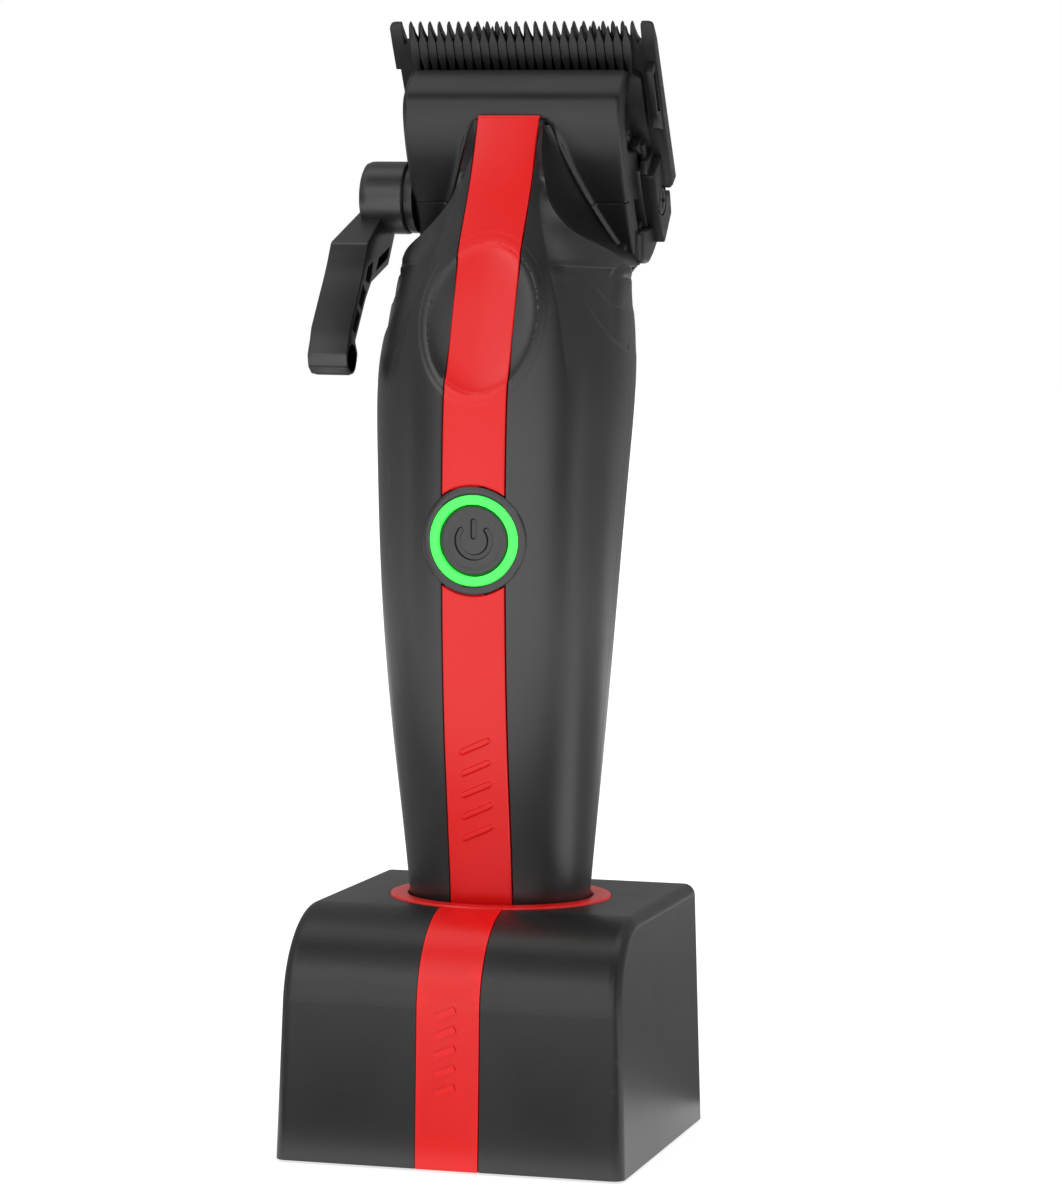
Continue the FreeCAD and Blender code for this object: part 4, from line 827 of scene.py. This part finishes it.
def comb_mesh(name, outline, root, teeth, front, back):
    """A blade as one closed mesh: a plate with a row of teeth along its top.

    outline holds the plate's (x, z) corners but for the top; each tooth is a list of
    (left, right, z) levels up from the root; front and back give y at a height.
    """
    solid = bmesh.new()
    made = {}

    def vert(x, z, side):
        key = (round(x, 4), round(z, 4), side)
        if key not in made:
            made[key] = solid.verts.new((x, front(z) if side == 0 else back(z), z))
        return made[key]

    def face(*corners):
        ring = []
        for corner in corners:
            spot = vert(*corner)
            if spot not in ring:
                ring.append(spot)
        if len(ring) > 2:
            solid.faces.new(ring)

    feet = [x for tooth in teeth for x in tooth[0][:2]]
    edge = [(x, root) for x in reversed(feet)]
    whole = list(outline) + edge
    for side in (0, 1):
        face(*[(x, z, side) for x, z in whole])
    bases = {(tooth[0][1], tooth[0][0]) for tooth in teeth}
    for (x0, z0), (x1, z1) in zip(whole, whole[1:] + whole[:1]):
        if z0 == root and z1 == root and (x0, x1) in bases:
            continue
        face((x0, z0, 0), (x1, z1, 0), (x1, z1, 1), (x0, z0, 1))
    for tooth in teeth:
        for (l0, r0, z0), (l1, r1, z1) in zip(tooth, tooth[1:]):
            for side in (0, 1):
                face((l0, z0, side), (r0, z0, side), (r1, z1, side), (l1, z1, side))
            for a0, a1 in ((l0, l1), (r0, r1)):
                face((a0, z0, 0), (a1, z1, 0), (a1, z1, 1), (a0, z0, 1))
        left, right, z = tooth[-1]
        face((left, z, 0), (right, z, 0), (right, z, 1), (left, z, 1))
    bmesh.ops.recalc_face_normals(solid, faces=solid.faces)
    soften(solid, 0.6, 0.07)
    mesh = bpy.data.meshes.new(name)
    solid.to_mesh(mesh)
    solid.free()
    mesh.transform(HEAD)
    return mesh


def tooth_row(count, pitch, levels):
    """Levels of a row of like teeth; each level is (half width to the left, right, z)."""
    first = -(count - 1) / 2 * pitch
    return [[(first + index * pitch - a, first + index * pitch + b, z) for a, b, z in levels]
            for index in range(count)]


def make_blades():
    """The fixed blade with its two broad outer teeth, and the moving blade before it."""
    root, tip = 18.1, 22.09
    teeth = tooth_row(24, 1.70, [(0.80, 0.80, root), (0.50, 0.50, 19.0), (0.34, 0.34, 20.3),
                                 (0.23, 0.23, 21.6), (0.12, 0.12, tip)])
    ear = [(21.0, 23.2, root), (21.1, 23.2, 21.3), (21.1, 23.05, 21.8), (21.15, 22.7, 22.0),
           (21.3, 22.3, tip)]
    teeth = [[(-b, -a, z) for a, b, z in ear]] + teeth + [ear]
    outline = [(-23.2, 13.3), (-22.4, 13.3), (-22.4, -9.6), (-21.6, -10.4), (22.6, -10.4),
               (23.2, -9.8)]
    plate = comb_mesh("fixed_blade_plate", outline, root, teeth,
                      lambda z: -0.4 + 0.5 * float(ramp(z, 20.5, 22.7)),
                      lambda z: 2.5 - 1.7 * float(ramp(z, 15.0, 22.7)))
    finished("fixed_blade_plate", plate, "blade_carriage", "fixed_blade", sharp=30)

    foot = 13.4
    teeth = tooth_row(25, 1.56, [(0.28, 0.42, foot), (0.32, 0.46, 14.4), (0.71, 0.71, 16.7),
                                 (0.71, 0.71, 19.4), (0.40, 0.26, 20.6), (0.12, 0.07, 21.9)])
    outline = [(-20.5, 12.4), (-20.5, -1.0), (20.5, -1.0), (20.5, 12.4)]
    plate = comb_mesh("moving_blade_plate", outline, foot, teeth,
                      lambda z: -2.2 + 0.9 * float(ramp(z, 18.0, 21.6)), lambda z: -0.5)
    finished("moving_blade_plate", plate, "cutter", "moving_blade", sharp=30)


# ------------------------------------------------------------------ taper lever

# The arm's outline from the side, as (y, z): its front edge down, its back edge up.
ARM_FRONT = ((14.5, 160.6), (11.5, 158.6), (2.6, 153.3), (0.9, 150.2), (-0.6, 147.9),
             (-7.3, 138.9), (-7.9, 137.0), (-9.1, 134.3), (-8.6, 132.2), (-6.8, 131.0))
ARM_BACK = ((-4.4, 131.4), (-3.1, 133.0), (-2.6, 134.6), (-4.0, 136.6), (1.8, 143.8),
            (5.0, 146.6), (15.0, 149.7), (19.0, 155.4), (18.6, 160.0))


def make_lever():
    """The taper lever: a hub, an arm with four pockets in its inner face, and a round grip."""
    arm = prism("arm", ARM_FRONT + ARM_BACK, -32.1, -25.0, bevel=0.35, segments=3)
    shoulder = prism("shoulder", [(-36, 164), (-28.85, 164), (-28.85, 160.0), (-31.7, 153.6),
                                  (-32.1, 131.0), (-32.1, 120), (-36, 120)],
                     -20, 30, along="y", bevel=0)
    pockets = [prism("pocket", corners, -30.4, -20, bevel=0) for corners in (
        ((15.6, 153.0), (9.0, 150.9), (7.2, 148.6), (14.2, 150.9)),
        ((5.8, 150.3), (2.6, 149.3), (1.2, 146.9), (3.4, 146.5), (4.8, 147.8)),
        ((-0.2, 146.4), (-2.6, 143.1), (-1.0, 141.9), (1.6, 145.0)),
        ((-3.3, 142.2), (-6.1, 138.6), (-4.3, 137.8), (-1.7, 140.9)))]
    arm = carved("lever_arm", arm, shoulder, *pockets)
    centre = (0, 15.0, 161.4)
    hub = turned("hub", [(4.6, -29.0), (5.4, -28.92), (6.0, -28.6), (6.26, -27.9), (6.3, -27.1),
                         (6.3, -21.3), (6.1, -21.0)], centre, "x", 96)
    grip = turned("grip", [(2.1, -31.9), (2.6, -31.7), (2.75, -31.1), (2.75, -25.6), (2.5, -25.0)],
                  (0, -6.0, 133.6), "x", 48)
    finished("taper_lever_arm", joined("taper_lever_arm", arm, hub, grip), "lever",
             "taper_lever", sharp=32)
    collar = turned("collar", [(5.0, -21.0), (5.9, -20.9), (6.1, -20.4), (6.1, -19.3)],
                    centre, "x", 96)
    finished("lever_collar_ring", collar, "clipper", "lever_collar", sharp=35)


# ------------------------------------------------------------------ dock


def make_ring():
    """The raised red ring round the socket, with a soft outer and inner edge."""
    foot, top, middle_y = 40.7, 42.6, 2.5
    profile = [(15.86, foot), (15.86, top - 0.35), (16.0, top - 0.1), (16.3, top), (18.5, top),
               (18.85, top - 0.12), (19.0, top - 0.4), (19.0, foot)]
    angles = np.linspace(0, 2 * math.pi, 240, endpoint=False)
    rows = np.array([np.stack([r * np.cos(angles), middle_y + r * np.sin(angles),
                               np.full_like(angles, z)], -1) for r, z in profile])
    mesh = loop_mesh("socket_ring_rim", np.concatenate([rows, rows[:1]]))
    finished("socket_ring_rim", mesh, "dock", "socket_ring", sharp=40)


make_front_shell()
make_back_shell()
make_stripes()
make_button()
make_neck_fillets()
make_head_housing()
make_head_core()
make_side_fittings()
make_blades()
make_lever()
make_ring()


# ------------------------------------------------------------------ stage

# The camera: its place, its direction and roll in degrees, and its lens.
VIEW = dict(place=(0.1942, -0.7148, 0.1451), azimuth=14.80, pitch=4.02, roll=0.73, lens=130.8)


def make_camera():
    """The camera, low in front of the object and a little to its right."""
    azimuth, pitch, roll = (math.radians(VIEW[k]) for k in ("azimuth", "pitch", "roll"))
    back = Vector((math.sin(azimuth) * math.cos(pitch), -math.cos(azimuth) * math.cos(pitch),
                   math.sin(pitch)))
    right = (-back).cross(Vector((0, 0, 1))).normalized()
    up = back.cross(right)
    side = right * math.cos(roll) + up * math.sin(roll)
    top = up * math.cos(roll) - right * math.sin(roll)
    data = bpy.data.cameras.new("camera")
    data.lens = VIEW["lens"]
    data.sensor_width = 36
    data.sensor_height = 36
    data.sensor_fit = "AUTO"
    data.clip_start = 0.05
    camera = bpy.data.objects.new("camera", data)
    bpy.context.scene.collection.objects.link(camera)
    turn = Matrix((side, top, back)).transposed().to_4x4()
    camera.matrix_world = Matrix.Translation(VIEW["place"]) @ turn
    bpy.context.scene.camera = camera


def panel(name, place, size, colour, aim=(0, 0, 0.1)):
    """A flat screen of the studio, out of the camera's sight, that gloss can mirror."""
    bpy.ops.mesh.primitive_plane_add(size=1, location=place)
    obj = bpy.context.object
    obj.name = name
    obj.scale = (size[0], size[1], 1)
    obj.rotation_euler = (Vector(aim) - Vector(place)).to_track_quat("Z", "Y").to_euler()
    material, *_ = shader(name, colour, 0.9, Specular_IOR_Level=0.0)
    obj.data.materials.append(material)
    obj.visible_camera = False
    obj.visible_shadow = False
    obj.visible_diffuse = False


def area(name, place, size, power, aim=(0, 0, 0.1)):
    """A soft square studio lamp."""
    data = bpy.data.lights.new(name, "AREA")
    data.size = size
    data.energy = power
    obj = bpy.data.objects.new(name, data)
    obj.location = place
    obj.rotation_euler = (Vector(aim) - Vector(place)).to_track_quat("-Z", "Y").to_euler()
    bpy.context.scene.collection.objects.link(obj)


def make_stage():
    """A pale floor and sky, and the screens and lamp that light the object."""
    bpy.ops.mesh.primitive_plane_add(size=12, location=(0, 0, 0))
    floor = bpy.context.object
    floor.name = "floor"
    material, nodes, links, principled = shader("floor", (0.5, 0.5, 0.5), 0.8)
    principled.inputs["Emission Color"].default_value = (1, 1, 1, 1)
    principled.inputs["Emission Strength"].default_value = 0.72
    links.new(spread(nodes, links, add_noise(nodes, links, 20.0), 0.75, 0.85),
              principled.inputs["Roughness"])
    floor.data.materials.append(material)
    world = bpy.data.worlds.new("world")
    bpy.context.scene.world = world
    world.use_nodes = True
    sky = world.node_tree.nodes["Background"]
    sky.inputs["Color"].default_value = (1, 1, 1, 1)
    sky.inputs["Strength"].default_value = 1.0
    black, grey = (0.003,) * 3, (0.24,) * 3
    floor_z = 0.0012
    panel("dark_right", (0.42, -0.27, 0.25), (0.27, 0.9), black)
    panel("dark_left", (-0.36, -0.31, 0.25), (0.26, 0.9), black)
    panel("grey_left", (-0.55, 0.15, 0.25), (0.9, 0.9), grey)
    panel("grey_right", (0.55, 0.20, 0.25), (0.7, 0.9), grey)
    panel("grey_behind", (0.0, 0.55, 0.45), (2.4, 1.3), grey)
    panel("grey_floor", (0.12, 0.24, floor_z), (0.5, 0.40), grey, (0.12, 0.24, 1))
    panel("grey_floor_left", (-0.24, 0.10, floor_z), (0.30, 0.45), grey, (-0.24, 0.10, 1))
    panel("dark_over", (0.0, -0.66, 0.98), (1.0, 0.78), black)
    panel("dark_low", (0.0, -0.09, floor_z), (0.40, 0.10), black, (0, -0.09, 1))
    area("key", (-0.9, -1.1, 1.0), 0.8, 4)
    bpy.context.scene.view_settings.view_transform = "Standard"


make_camera()
make_stage()
